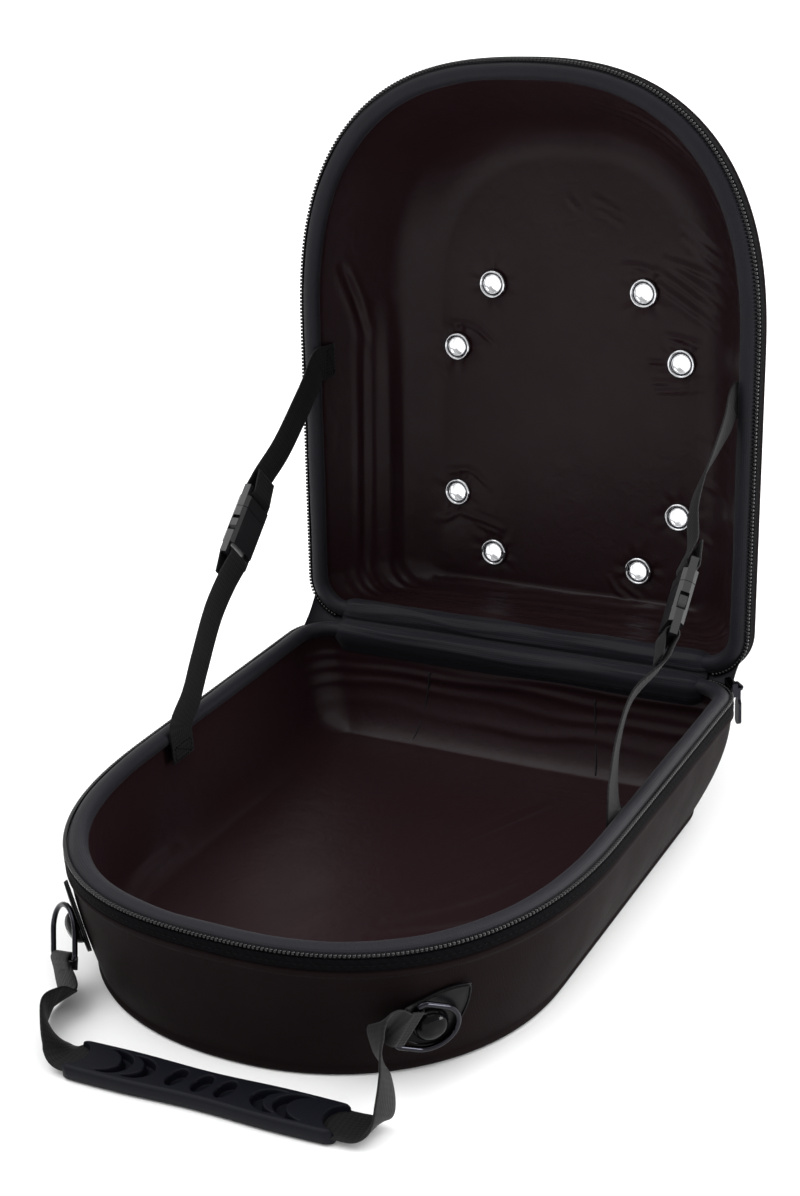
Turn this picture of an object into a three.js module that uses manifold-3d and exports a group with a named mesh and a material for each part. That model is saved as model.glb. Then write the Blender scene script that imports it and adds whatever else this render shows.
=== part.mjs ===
// Hard-shell carrier case with a domed lid, standing open: a moulded tray and a moulded lid joined by a
// cloth hinge, a zip round the rim, two webbing stays with side-release buckles and a carrying handle.
// Frame: the origin is the middle of the flat underside, +Z is up and the round front points to -Y.
// Lengths are millimetres, angles degrees.
import * as THREE from 'three';
import { mergeVertices } from 'three/addons/utils/BufferGeometryUtils.js';
import Module from 'manifold-3d';

const wasm = await Module();
wasm.setup();

// Plan of the rim, shared by the tray and the lid
const RIM_WIDTH = 280;
const RIM_LENGTH = 332;
const RIM_ARCH_LENGTH = 154;
const RIM_ARCH_POWER = 2.5;
const HINGE_CORNER = 26;
const COLLAR_HEIGHT = 11;

// Tray, with its drafts taken from the rim to the floor. Below the collar the inner layers of a wall turn
// from one straight run to the next at the bend, a share of the half's depth, and at the floor's round.
const BASE_DEPTH = 67;
const BASE_SIDE_DRAFT = 18;
const BASE_FRONT_DRAFT = 2;
const BASE_BACK_DRAFT = 20;
const BASE_FLOOR_ARCH = 110;
const BASE_FLOOR_POWER = 2.13;
const BASE_FLOOR_CORNER = 26;
const BASE_WALL_CURVE = 1.75;
const BASE_WALL_BEND = 0.45;
const BASE_INNER_ROUND = 12;
const BEAD_HEIGHT = 3.4;
const BEAD_OUT = 1.5;

// Lid, deeper and with steeper walls
const LID_DEPTH = 76;
const LID_SIDE_DRAFT = 38;
const LID_FRONT_DRAFT = 38;
const LID_BACK_DRAFT = 2;
const LID_PANEL_ARCH = 112;
const LID_PANEL_POWER = 2.4;
const LID_PANEL_CORNER = 26;
const LID_WALL_CURVE = 1.05;
const LID_WALL_BEND = 0.5;
const LID_OUTER_ROUND = 14;
const LID_INNER_ROUND = 17;
const LID_OPEN_ANGLE = 95.3;
const HINGE_SIDE_ROUND = 0.4;

// Walls, from outside to inside
const SKIN_INSET = 1.9;
const SHELL_WALL = 4.5;
const LINING_WALL = 1.5;
const SEAT_GAP = 0.3;

// Padded rim roll, zip tape, zip chain and the moulded ridge below them
const BAND_WIDTH = 10.2;
const BAND_HEIGHT = 7.5;
const BAND_RISE = 2;
const TAPE_WIDTH = 6.1;
const TAPE_THICKNESS = 1;
const CHAIN_WIDTH = 2.4;
const CHAIN_THICKNESS = 2.3;
const CHAIN_RISE = 0.8;
const RIDGE_WIDTH = 2.4;
const RIDGE_OUT = 1.4;
const RIDGE_GAP = 0.8;

// Folds of the lining along the hinge side
const FOLD_HEIGHT = 1.7;
const FOLD_WIDTH = 3.2;

// Eyelets in the lid panel
const EYELET_BORE = 10;
const EYELET_FLANGE = 17;
const EYELET_WALL = 0.7;
const EYELET_RISE = 1.7;

// Stays
const STAY_WIDTH = 20;
const STAY_THICKNESS = 1.2;
const STAY_LID_PLACE = 157;
const STAY_BASE_PLACE = 161;
const STAY_SEWN_LENGTH = 11;
const STAY_TWIST = 29;
const STAY_BOW = 8;
const BUCKLE_WIDTH = 26;
const BUCKLE_THICKNESS = 8;
const SOCKET_LENGTH = 29;
const PLUG_LENGTH = 14;
const PRONG_LENGTH = 17;
const BUCKLE_BAR = 3;

// Carrying handle
const ANCHOR_TURN = 48;
const ANCHOR_DEPTH = (BASE_DEPTH * 41) / 67;
const ANCHOR_RAISE = 6;
const PATCH_RADIUS = 12.5;
const PATCH_TIP = 27;
const PATCH_THICKNESS = 1.6;
const DOME_RADIUS = 8.6;
const DOME_HEIGHT = 6.5;
const RING_RADIUS = 13;
const RING_WIRE = 3;
const RING_BAR_CORNER = 3;
const CARRY_WIDTH = 20;
const CARRY_THICKNESS = 1.4;
const CARRY_TAIL = 6;
const CARRY_BOW = 17;
const GRIP_LENGTH = 140;
const GRIP_SIDE_WALL = 1.2;
const GRIP_WIDTH = CARRY_WIDTH + 2 * (GRIP_SIDE_WALL + SEAT_GAP);
const GRIP_WAIST = 1.2;
const GRIP_THICKNESS = 8;
const GRIP_OFFSET = 9;
const GRIP_GAP = 13;
const GRIP_TURN = 3;
const GRIP_EDGE = 1.2;
const GRIP_SCOOP = 8.5;
const GRIP_SLOT_DEPTH = 20;
const GRIP_MOUTH = 4;
const GRIP_RECESS = 2.4;

// Zip slider, parked at the right hinge corner, and its pull
const SLIDER_WIDTH = 8;
const SLIDER_LENGTH = 10;
const SLIDER_THICKNESS = 3.2;
const BAIL_REACH = 2.6;
const BAIL_WIRE = 1.6;
const PULL_LENGTH = 25;
const PULL_WIDTH = 4.6;
const PULL_THICKNESS = 1.8;
const PULL_CLEARANCE = 0.3;

// Mesh fineness: steps in each stretch of an outline, and round small turned pieces
const BACK_STEPS = 1;
const CORNER_STEPS = 3;
const SIDE_STEPS = 2;
const ARCH_STEPS = 18;
const ROUND_STEPS = 2;
const EYELET_STEPS = 12;
const WIRE_SIDES = 6;
const CARRY_STEP = 6.5;

const clearance = SEAT_GAP;
const radians = THREE.MathUtils.degToRad;
const mix = THREE.MathUtils.lerp;
const vector = (x, y, z) => new THREE.Vector3(x, y, z);

const SHELL_INNER = SKIN_INSET + SHELL_WALL;
const LINING_OUTER = SHELL_INNER + clearance;
const LINING_INNER = LINING_OUTER + LINING_WALL;
const BAND_BOTTOM = BAND_HEIGHT - BAND_RISE;
const WALL_TOP = BAND_BOTTOM + clearance;
const TAPE_INSET = SKIN_INSET - clearance - TAPE_THICKNESS;
const TAPE_TOP = CHAIN_THICKNESS - CHAIN_RISE + clearance;
const TAPE_BOTTOM = TAPE_TOP + TAPE_WIDTH;
const RIDGE_TOP = Math.max(TAPE_BOTTOM + RIDGE_GAP, WALL_TOP + RIDGE_GAP);
const RIDGE_BOTTOM = RIDGE_TOP + RIDGE_WIDTH;

const BASE = {
  depth: BASE_DEPTH, side: BASE_SIDE_DRAFT, front: BASE_FRONT_DRAFT, back: BASE_BACK_DRAFT,
  arch: BASE_FLOOR_ARCH, power: BASE_FLOOR_POWER, corner: BASE_FLOOR_CORNER, curve: BASE_WALL_CURVE,
  bends: [
    COLLAR_HEIGHT, BASE_WALL_BEND * BASE_DEPTH,
    BASE_DEPTH - LINING_WALL - SHELL_WALL - SEAT_GAP - BASE_INNER_ROUND,
  ],
};
const LID = {
  depth: LID_DEPTH, side: LID_SIDE_DRAFT, front: LID_FRONT_DRAFT, back: LID_BACK_DRAFT,
  arch: LID_PANEL_ARCH, power: LID_PANEL_POWER, corner: LID_PANEL_CORNER, curve: LID_WALL_CURVE,
  bends: [COLLAR_HEIGHT, LID_WALL_BEND * LID_DEPTH],
};

// Both halves are modelled in the same local frame: x across, y from the hinge line to the round end and
// z the depth away from the opening. These placements stand the tray on its floor and open the lid.
const hingeY = (RIM_LENGTH - BASE_FRONT_DRAFT + BASE_BACK_DRAFT) / 2;
const hinge = vector(0, hingeY, BASE_DEPTH);
const baseGroup = new THREE.Group();
baseGroup.position.copy(hinge);
baseGroup.rotation.x = Math.PI;
const lidGroup = new THREE.Group();
lidGroup.position.copy(hinge);
lidGroup.rotation.set(-radians(LID_OPEN_ANGLE), 0, Math.PI, 'XYZ');
baseGroup.updateMatrixWorld(true);
lidGroup.updateMatrixWorld(true);
const inBase = (x, y, z) => vector(x, y, z).applyMatrix4(baseGroup.matrixWorld);
const inLid = (x, y, z) => vector(-x, y, z).applyMatrix4(lidGroup.matrixWorld);

// Materials
const material = (color, roughness, metalness) => new THREE.MeshStandardMaterial({ color, roughness, metalness });
const evaSkin = material('#1d1a1c', 0.75, 0);
const satinLining = material('#1f1718', 0.55, 0);
const paddedCloth = material('#2b2b31', 0.8, 0);
const webbing = material('#222123', 0.85, 0);
const plastic = material('#26262b', 0.45, 0);
const rubber = material('#2c2c33', 0.7, 0);
const leather = material('#1b1a1c', 0.5, 0);
const chrome = material('#d8dadc', 0.15, 1);
const blackMetal = material('#3a3a3e', 0.3, 1);

// Size of the outline at one depth, moved inwards by an inset. A round at the foot of the wall is a
// further inset, of which the hinge side takes only a share.
function planAt(half, depth, inset, round = 0) {
  const fall = Math.max(0, depth - COLLAR_HEIGHT) / (half.depth - COLLAR_HEIGHT);
  const s = fall ** half.curve;
  const whole = inset + round;
  return {
    half: RIM_WIDTH / 2 - s * half.side - whole,
    back: s * half.back + inset + round * HINGE_SIDE_ROUND,
    front: RIM_LENGTH - s * half.front - whole,
    arch: mix(RIM_ARCH_LENGTH, half.arch, s) - whole,
    power: mix(RIM_ARCH_POWER, half.power, s),
    corner: Math.max(mix(HINGE_CORNER, half.corner, s) - whole, 2),
  };
}

// One point of the round front, at an angle measured from the right side
function archPoint(plan, angle) {
  const c = Math.cos(angle);
  const s = Math.sin(angle);
  const reach = (Math.abs(c) ** plan.power + Math.abs(s) ** plan.power) ** (-1 / plan.power);
  return [plan.half * c * reach, plan.front - plan.arch + plan.arch * s * reach];
}

// The outline is walked from the middle of the hinge side, along +x, round the front and back again
const STRETCHES = [
  ['backRight', BACK_STEPS], ['cornerRight', CORNER_STEPS], ['sideRight', SIDE_STEPS], ['arch', ARCH_STEPS],
  ['sideLeft', SIDE_STEPS], ['cornerLeft', CORNER_STEPS], ['backLeft', BACK_STEPS],
];
const STATIONS = STRETCHES.flatMap(([stretch, steps]) => (
  Array.from({ length: steps }, (_, i) => ({ stretch, share: i / steps }))));

function outlinePoint(plan, { stretch, share }) {
  const { half, back, front, arch, corner } = plan;
  const inner = half - corner;
  const turn = share * Math.PI / 2;
  switch (stretch) {
    case 'backRight': return [inner * share, back];
    case 'cornerRight': return [inner + corner * Math.sin(turn), back + corner * (1 - Math.cos(turn))];
    case 'sideRight': return [half, mix(back + corner, front - arch, share)];
    case 'arch': return archPoint(plan, share * Math.PI);
    case 'sideLeft': return [-half, mix(front - arch, back + corner, share)];
    case 'cornerLeft': return [-inner - corner * Math.cos(turn), back + corner * (1 - Math.sin(turn))];
    default: return [-inner * (1 - share), back];
  }
}

function ring(half, depth, inset, round = 0, stations = STATIONS) {
  const plan = planAt(half, depth, inset, round);
  return stations.map((station) => {
    const [x, y] = outlinePoint(plan, station);
    return vector(x, y, depth);
  });
}

// Skins a row of equal loops of points. The ends are closed by fans, or joined to each other. A quad is
// split along its shorter diagonal, or where turned lists sides, along the diagonal that suits its side.
function loft(loops, joinEnds = false, turned = null) {
  const count = loops[0].length;
  const points = loops.flat();
  const faces = [];
  const rows = joinEnds ? loops.length : loops.length - 1;
  for (let row = 0; row < rows; row += 1) {
    const a = row * count;
    const b = ((row + 1) % loops.length) * count;
    for (let i = 0; i < count; i += 1) {
      const j = (i + 1) % count;
      const gain = points[a + i].distanceTo(points[b + j]) - points[a + j].distanceTo(points[b + i]);
      const other = turned ? turned.includes(i) : gain > 1e-4;
      if (other) faces.push([a + i, a + j, b + i], [a + j, b + j, b + i]);
      else faces.push([a + i, a + j, b + j], [a + i, b + j, b + i]);
    }
  }
  if (!joinEnds) {
    const close = (start, flip) => {
      const loop = points.slice(start, start + count);
      const middle = loop.reduce((sum, p) => sum.add(p), vector(0, 0, 0)).divideScalar(count);
      const hub = points.push(middle) - 1;
      for (let i = 0; i < count; i += 1) {
        const j = (i + 1) % count;
        faces.push(flip ? [hub, start + j, start + i] : [hub, start + i, start + j]);
      }
    };
    close(0, true);
    close((loops.length - 1) * count, false);
  }
  return closedGeometry(points, faces);
}

// Builds an indexed geometry whose faces point outwards
function closedGeometry(points, faces) {
  const volume = faces.reduce((sum, [a, b, c]) => (
    sum + points[a].dot(points[b].clone().cross(points[c]))), 0);
  const index = faces.flatMap(([a, b, c]) => (volume < 0 ? [a, c, b] : [a, b, c]));
  const geometry = new THREE.BufferGeometry();
  geometry.setAttribute('position', new THREE.Float32BufferAttribute(points.flatMap((p) => [p.x, p.y, p.z]), 3));
  geometry.setIndex(index);
  geometry.computeVertexNormals();
  return geometry;
}

// Booleans
function toSolid(geometry) {
  const bare = new THREE.BufferGeometry();
  bare.setAttribute('position', geometry.getAttribute('position').clone());
  bare.setIndex(geometry.index ? geometry.index.clone() : null);
  const merged = mergeVertices(bare, 1e-4);
  return new wasm.Manifold(new wasm.Mesh({
    numProp: 3,
    vertProperties: new Float32Array(merged.getAttribute('position').array),
    triVerts: new Uint32Array(merged.index.array),
  }));
}

function fromSolid(solid) {
  const mesh = solid.getMesh();
  const geometry = new THREE.BufferGeometry();
  geometry.setAttribute('position', new THREE.BufferAttribute(new Float32Array(mesh.vertProperties), 3));
  geometry.setIndex(new THREE.BufferAttribute(new Uint32Array(mesh.triVerts), 1));
  geometry.computeVertexNormals();
  return geometry;
}

const cut = (geometry, tools) => fromSolid(tools.reduce((solid, tool) => solid.subtract(toSolid(tool)), toSolid(geometry)));
const join = (parts) => fromSolid(parts.map(toSolid).reduce((whole, part) => whole.add(part)));

function box(width, length, height, x = 0, y = 0, z = 0) {
  return new THREE.BoxGeometry(width, length, height).translate(x, y, z);
}

function addMesh(parent, name, geometry, finish) {
  const mesh = new THREE.Mesh(geometry, finish);
  mesh.name = name;
  parent.add(mesh);
  return mesh;
}

// A quarter turn between a wall and a floor: rows of depth, inset and further inset, from wall to floor
function roundRows(floor, inset, radius, steps) {
  return Array.from({ length: steps + 1 }, (_, i) => {
    const turn = (i / steps) * Math.PI / 2;
    return [floor - radius * (1 - Math.sin(turn)), inset, radius * (1 - Math.cos(turn))];
  });
}

const rowsToRings = (half, rows) => rows.map(([depth, inset, round]) => ring(half, depth, inset, round));

// Outer skin below the zip: the ridge, then the wall
function collarRows() {
  return [
    [RIDGE_BOTTOM + RIDGE_OUT, SKIN_INSET],
    [RIDGE_BOTTOM, SKIN_INSET - RIDGE_OUT],
    [RIDGE_TOP, SKIN_INSET - RIDGE_OUT],
    [RIDGE_TOP - RIDGE_GAP / 2, SKIN_INSET],
    [WALL_TOP, SKIN_INSET],
    [WALL_TOP, SHELL_INNER],
  ];
}

// Tray shell: a flat floor with a bead round its edge, curved walls and the rim collar
function baseShell() {
  const inner = BASE_DEPTH - SHELL_WALL;
  return loft(rowsToRings(BASE, [
    [BASE_DEPTH, SKIN_INSET],
    [BASE_DEPTH - BEAD_HEIGHT * 0.3, SKIN_INSET - BEAD_OUT],
    [BASE_DEPTH - BEAD_HEIGHT, SKIN_INSET - BEAD_OUT],
    [BASE_DEPTH - BEAD_HEIGHT - BEAD_OUT, SKIN_INSET],
    [BASE_DEPTH * 0.72, SKIN_INSET],
    [BASE_DEPTH * 0.45, SKIN_INSET],
    ...collarRows(),
    ...BASE.bends.map((depth) => [depth, SHELL_INNER]),
    ...roundRows(inner, SHELL_INNER, BASE_INNER_ROUND, ROUND_STEPS),
  ]));
}

// Lid shell: steep walls rounded into a flat panel, with the eyelet holes cut through
function lidShell() {
  const inner = LID_DEPTH - SHELL_WALL;
  const shell = loft(rowsToRings(LID, [
    ...roundRows(LID_DEPTH, SKIN_INSET, LID_OUTER_ROUND, 3).reverse(),
    [LID_DEPTH * 0.5, SKIN_INSET],
    ...collarRows(),
    ...LID.bends.map((depth) => [depth, SHELL_INNER]),
    ...roundRows(inner, SHELL_INNER, LID_OUTER_ROUND, ROUND_STEPS),
  ]));
  return cut(shell, eyeletBores());
}

// Where the lining is gathered over the hinge: depth as a share of the half, height as a share of
// FOLD_HEIGHT and width as a share of FOLD_WIDTH
const HINGE_FOLDS = {
  lid: [
    { depth: 0.17, height: 0.9, width: 1.0 },
    { depth: 0.27, height: 0.6, width: 0.8 },
    { depth: 0.38, height: 1.0, width: 1.1 },
    { depth: 0.50, height: 0.7, width: 0.9 },
    { depth: 0.63, height: 1.0, width: 1.2 },
  ],
  base: [
    { depth: 0.19, height: 1.0, width: 1.1 },
    { depth: 0.31, height: 0.7, width: 1.0 },
    { depth: 0.45, height: 0.9, width: 1.3 },
  ],
};

// Height of the hinge folds at a place on the wall, fading out round the hinge corners
function foldHeight(folds, half, x, y, depth) {
  const back = planAt(half, depth, LINING_INNER).back;
  const fade = THREE.MathUtils.clamp(1 - (y - back) / HINGE_CORNER, 0, 1);
  const sum = folds.reduce((total, fold) => {
    const away = (depth - fold.depth * half.depth) / (fold.width * FOLD_WIDTH);
    return total + fold.height * Math.exp(-away * away);
  }, 0);
  return fade * FOLD_HEIGHT * sum;
}

// A ring on the straight run of wall between the bends above and below it
function wallRing(half, bends, depth, inset) {
  const next = bends.findIndex((bend) => bend > depth);
  const share = (depth - bends[next - 1]) / (bends[next] - bends[next - 1]);
  const lower = ring(half, bends[next], inset);
  return ring(half, bends[next - 1], inset).map((p, i) => p.lerp(lower[i], share));
}

// Lining: a thin cloth skin inside a shell, its inner face gathered along the hinge
function lining(half, folds, round) {
  const outerFloor = half.depth - SHELL_WALL - clearance;
  const innerFloor = outerFloor - LINING_WALL;
  const bends = [WALL_TOP, ...half.bends, innerFloor - round + 0.01];
  const outer = [
    [WALL_TOP, LINING_OUTER],
    ...half.bends.map((depth) => [depth, LINING_OUTER]),
    ...roundRows(outerFloor, LINING_OUTER, round + LINING_WALL, ROUND_STEPS),
  ];
  const crests = folds.flatMap((fold, i) => {
    const next = folds[i + 1] ? folds[i + 1].depth : fold.depth + (fold.depth - folds[i - 1].depth);
    return [fold.depth * half.depth, half.depth * (fold.depth + next) / 2];
  });
  const walls = [...crests, ...half.bends].sort((a, b) => a - b)
    .filter((depth) => depth > WALL_TOP + 1 && depth < innerFloor - round - 1);
  const folded = (depth) => wallRing(half, bends, depth, LINING_INNER)
    .map((p) => p.setY(p.y + foldHeight(folds, half, p.x, p.y, depth)));
  return loft([
    ...rowsToRings(half, outer.reverse()),
    ring(half, WALL_TOP, LINING_INNER),
    ...walls.map(folded),
    ...rowsToRings(half, roundRows(innerFloor, LINING_INNER, round, ROUND_STEPS)),
  ]);
}

// Padded roll on top of the walls: inset and depth as shares of the roll's width and height
const BAND_SECTION = [
  { inset: 0.00, depth: 1.00 },
  { inset: 0.00, depth: 0.60 },
  { inset: 0.12, depth: 0.43 },
  { inset: 0.21, depth: 0.13 },
  { inset: 0.48, depth: 0.00 },
  { inset: 0.80, depth: 0.10 },
  { inset: 0.99, depth: 0.40 },
  { inset: 0.98, depth: 0.76 },
  { inset: 0.84, depth: 1.00 },
];

function rimBand(half) {
  return loft(BAND_SECTION.map((row) => (
    ring(half, row.depth * BAND_HEIGHT - BAND_RISE, SKIN_INSET + row.inset * BAND_WIDTH))), true);
}

// The zip runs from one hinge corner round the front to the other
const TAPE_STATIONS = [
  ...STATIONS.filter(({ stretch }) => !stretch.startsWith('back')),
  { stretch: 'backLeft', share: 0 },
];
const CHAIN_STATIONS = TAPE_STATIONS.slice(1, -1);

function runRound(half, stations, section) {
  const rings = section.map(([inset, depth]) => ring(half, depth, inset, 0, stations));
  return loft(stations.map((_, i) => rings.map((points) => points[i])));
}

const zipTape = (half) => runRound(half, TAPE_STATIONS, [
  [TAPE_INSET, TAPE_TOP], [TAPE_INSET + TAPE_THICKNESS, TAPE_TOP],
  [TAPE_INSET + TAPE_THICKNESS, TAPE_BOTTOM], [TAPE_INSET, TAPE_BOTTOM],
]);

const zipChain = (half) => runRound(half, CHAIN_STATIONS, [
  [TAPE_INSET - clearance, -CHAIN_RISE], [TAPE_INSET - clearance + CHAIN_WIDTH, -CHAIN_RISE],
  [TAPE_INSET - clearance + CHAIN_WIDTH, CHAIN_THICKNESS - CHAIN_RISE],
  [TAPE_INSET - clearance, CHAIN_THICKNESS - CHAIN_RISE],
]);

// Cloth hinge: an angle strip on the outside, whose crease comes up between the two rolls
function hingeStrip() {
  const reach = RIM_WIDTH / 2 - HINGE_CORNER - clearance;
  const inner = TAPE_INSET + TAPE_THICKNESS;
  const crease = inner;
  const section = [
    inBase(0, TAPE_INSET, TAPE_BOTTOM), inBase(0, TAPE_INSET, TAPE_INSET),
    inLid(0, TAPE_INSET, TAPE_INSET), inLid(0, TAPE_INSET, TAPE_BOTTOM),
    inLid(0, inner, TAPE_BOTTOM), inLid(0, inner, inner),
    inBase(0, crease, -crease),
    inBase(0, inner, inner), inBase(0, inner, TAPE_BOTTOM),
  ];
  return loft([-reach, reach].map((x) => section.map((p) => vector(x, p.y, p.z))));
}

// Eyelet places on the lid panel: across as a share of the room a flange has beside the middle line of
// the flat panel, and up from the hinge as a share of the rim's length
const EYELET_ROWS = [
  { across: 0.660, up: 0.599 },
  { across: 0.988, up: 0.482 },
  { across: 0.997, up: 0.209 },
  { across: 0.660, up: 0.101 },
];
const PANEL_INNER = LID_DEPTH - SHELL_WALL - clearance - LINING_WALL;
const EYELET_ROOM = planAt(LID, PANEL_INNER, LINING_INNER, LID_INNER_ROUND).half - EYELET_FLANGE / 2;
const EYELETS = [-1, 1].flatMap((side) => (
  EYELET_ROWS.map(({ across, up }) => [side * across * EYELET_ROOM, up * RIM_LENGTH])));
const BARREL_RADIUS = EYELET_BORE / 2 + EYELET_WALL;

function eyeletBores() {
  const depth = LID_DEPTH - PANEL_INNER + 4;
  return EYELETS.map(([x, y]) => (
    new THREE.CylinderGeometry(BARREL_RADIUS + clearance, BARREL_RADIUS + clearance, depth, EYELET_STEPS)
      .rotateX(Math.PI / 2).translate(x, y, (LID_DEPTH + PANEL_INNER) / 2)));
}

// Turned eyelet: a rolled flange inside, a barrel through the panel and a washer outside
function eyelet() {
  const bore = EYELET_BORE / 2;
  const flange = EYELET_FLANGE / 2;
  const inside = PANEL_INNER - clearance;
  const outside = LID_DEPTH + clearance;
  const profile = [
    [bore, inside - EYELET_RISE * 0.5], [mix(bore, flange, 0.4), inside - EYELET_RISE],
    [flange - EYELET_WALL, inside - EYELET_RISE * 0.6], [flange, inside],
    [BARREL_RADIUS, inside], [BARREL_RADIUS, outside],
    [flange - EYELET_WALL, outside], [mix(bore, flange, 0.4), outside + EYELET_WALL], [bore, outside],
  ];
  const outline = [...profile, profile[0]].map(([r, z]) => new THREE.Vector2(r, z));
  const turned = new THREE.LatheGeometry(outline, EYELET_STEPS).rotateX(Math.PI / 2);
  return outwards(turned);
}

// Merges a three.js geometry into a closed one with its faces outwards
function outwards(geometry) {
  const bare = new THREE.BufferGeometry();
  bare.setAttribute('position', geometry.getAttribute('position').clone());
  bare.setIndex(geometry.index ? geometry.index.clone() : null);
  const merged = mergeVertices(bare, 1e-4);
  const at = merged.getAttribute('position');
  const points = Array.from({ length: at.count }, (_, i) => vector().fromBufferAttribute(at, i));
  const faces = [];
  for (let i = 0; i < merged.index.count; i += 3) {
    const face = [0, 1, 2].map((k) => merged.index.getX(i + k));
    if (new Set(face).size === 3) faces.push(face);
  }
  return closedGeometry(points, faces);
}

// A flat band through sections that each give a middle point and the direction of the band's width. Its
// two faces are split along the same diagonals, so that they stay apart where the band twists.
const RIBBON_TURNED = [2];
function ribbon(sections, width, thickness) {
  const tangent = (i) => {
    const before = sections[Math.max(i - 1, 0)].point;
    const after = sections[Math.min(i + 1, sections.length - 1)].point;
    return after.clone().sub(before).normalize();
  };
  return loft(sections.map(({ point, across }, i) => {
    const t = tangent(i);
    const w = across.clone().addScaledVector(t, -across.dot(t)).normalize();
    const n = t.clone().cross(w);
    return [[-1, -1], [1, -1], [1, 1], [-1, 1]].map(([a, b]) => (
      point.clone().addScaledVector(w, a * width / 2).addScaledVector(n, b * thickness / 2)));
  }), false, RIBBON_TURNED);
}

// Half a turn of webbing round a bar: the tail comes in along the pull and the band leaves the same way
function wrapSections(bar, along, pull, radius, tail, tailGap) {
  const lift = pull.clone().cross(along).normalize();
  const at = (p, l) => bar.clone().addScaledVector(pull, p).addScaledVector(lift, l);
  const turns = [-90, -135, 180, 135, 90].map(radians);
  return [
    at(tail, -tailGap / 2),
    at(tail * 0.5, -mix(radius, tailGap / 2, 0.5)),
    ...turns.map((a) => at(radius * Math.cos(a), radius * Math.sin(a))),
    at(tail * 0.5, mix(radius, tailGap / 2, 0.5)),
    at(tail, tailGap / 2),
  ].map((point) => ({ point, across: along.clone() }));
}

// Side-release buckle, built lying along y with the socket towards -y and the plug towards +y.
// Its middle, where the plug meets the socket, is the origin.
const SLOT_WIDTH = STAY_WIDTH + 2 * clearance;
const SLOT_LENGTH = BUCKLE_BAR + 1.2;
const BAR_THICKNESS = BUCKLE_THICKNESS / 2;
const SOCKET_BAR_Y = -SOCKET_LENGTH + BUCKLE_BAR / 2;
const PLUG_BAR_Y = PLUG_LENGTH - BUCKLE_BAR / 2;

function slottedEnd(barY, sign) {
  const far = barY + sign * BUCKLE_BAR / 2;
  const length = BUCKLE_BAR + SLOT_LENGTH;
  const plate = box(BUCKLE_WIDTH, length, BAR_THICKNESS, 0, far - sign * length / 2, 0);
  const slot = box(SLOT_WIDTH, SLOT_LENGTH, BUCKLE_THICKNESS, 0, barY - sign * (BUCKLE_BAR + SLOT_LENGTH) / 2, 0);
  return cut(plate, [slot]);
}

function roundedBody(width, y0, y1, thickness, corner) {
  const shape = new THREE.Shape();
  const w = width / 2;
  const h = thickness / 2;
  shape.moveTo(-w, -h + corner);
  shape.lineTo(-w + corner, -h);
  shape.lineTo(w - corner, -h);
  shape.lineTo(w, -h + corner);
  shape.lineTo(w, h - corner);
  shape.lineTo(w - corner, h);
  shape.lineTo(-w + corner, h);
  shape.lineTo(-w, h - corner);
  const body = new THREE.ExtrudeGeometry(shape, { depth: y1 - y0, bevelEnabled: false });
  return body.rotateX(Math.PI / 2).translate(0, y1, 0);
}

function socket() {
  const bodyEnd = SOCKET_BAR_Y + BUCKLE_BAR / 2 + SLOT_LENGTH;
  const body = roundedBody(BUCKLE_WIDTH, bodyEnd - 0.5, 0, BUCKLE_THICKNESS, 2);
  const cavityWidth = BUCKLE_WIDTH - 4;
  const cavityHeight = BUCKLE_THICKNESS - 3.2;
  const cavity = box(cavityWidth, PRONG_LENGTH + 2, cavityHeight, 0, -(PRONG_LENGTH + 2) / 2 + 0.5, 0);
  const windows = box(BUCKLE_WIDTH + 2, PRONG_LENGTH * 0.55, cavityHeight, 0, -PRONG_LENGTH * 0.62, 0);
  return cut(join([body, slottedEnd(SOCKET_BAR_Y, -1)]), [cavity, windows]);
}

function plug() {
  const gap = clearance;
  const bodyEnd = PLUG_BAR_Y - BUCKLE_BAR / 2 - SLOT_LENGTH;
  const body = roundedBody(BUCKLE_WIDTH, gap, bodyEnd + 0.5, BUCKLE_THICKNESS, 2);
  const reach = BUCKLE_WIDTH / 2 - 2 - gap;
  const height = BUCKLE_THICKNESS - 3.2 - 2 * gap;
  const prong = (side) => {
    const shape = new THREE.Shape();
    shape.moveTo(side * (reach - 3.4), 1);
    shape.lineTo(side * reach, 1);
    shape.lineTo(side * reach, -PRONG_LENGTH * 0.36);
    shape.lineTo(side * (reach + 1.9), -PRONG_LENGTH * 0.46);
    shape.lineTo(side * (reach + 1.9), -PRONG_LENGTH * 0.72);
    shape.lineTo(side * (reach - 1), -PRONG_LENGTH * 0.97);
    shape.lineTo(side * (reach - 3.4), -PRONG_LENGTH * 0.9);
    const arm = new THREE.ExtrudeGeometry(shape, { depth: height, bevelEnabled: false });
    return outwards(arm.translate(0, 0, -height / 2));
  };
  const tongue = box(4, PRONG_LENGTH * 0.8, height, 0, -PRONG_LENGTH * 0.4 + 1, 0);
  return join([body, slottedEnd(PLUG_BAR_Y, 1), prong(-1), prong(1), tongue]);
}

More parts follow.
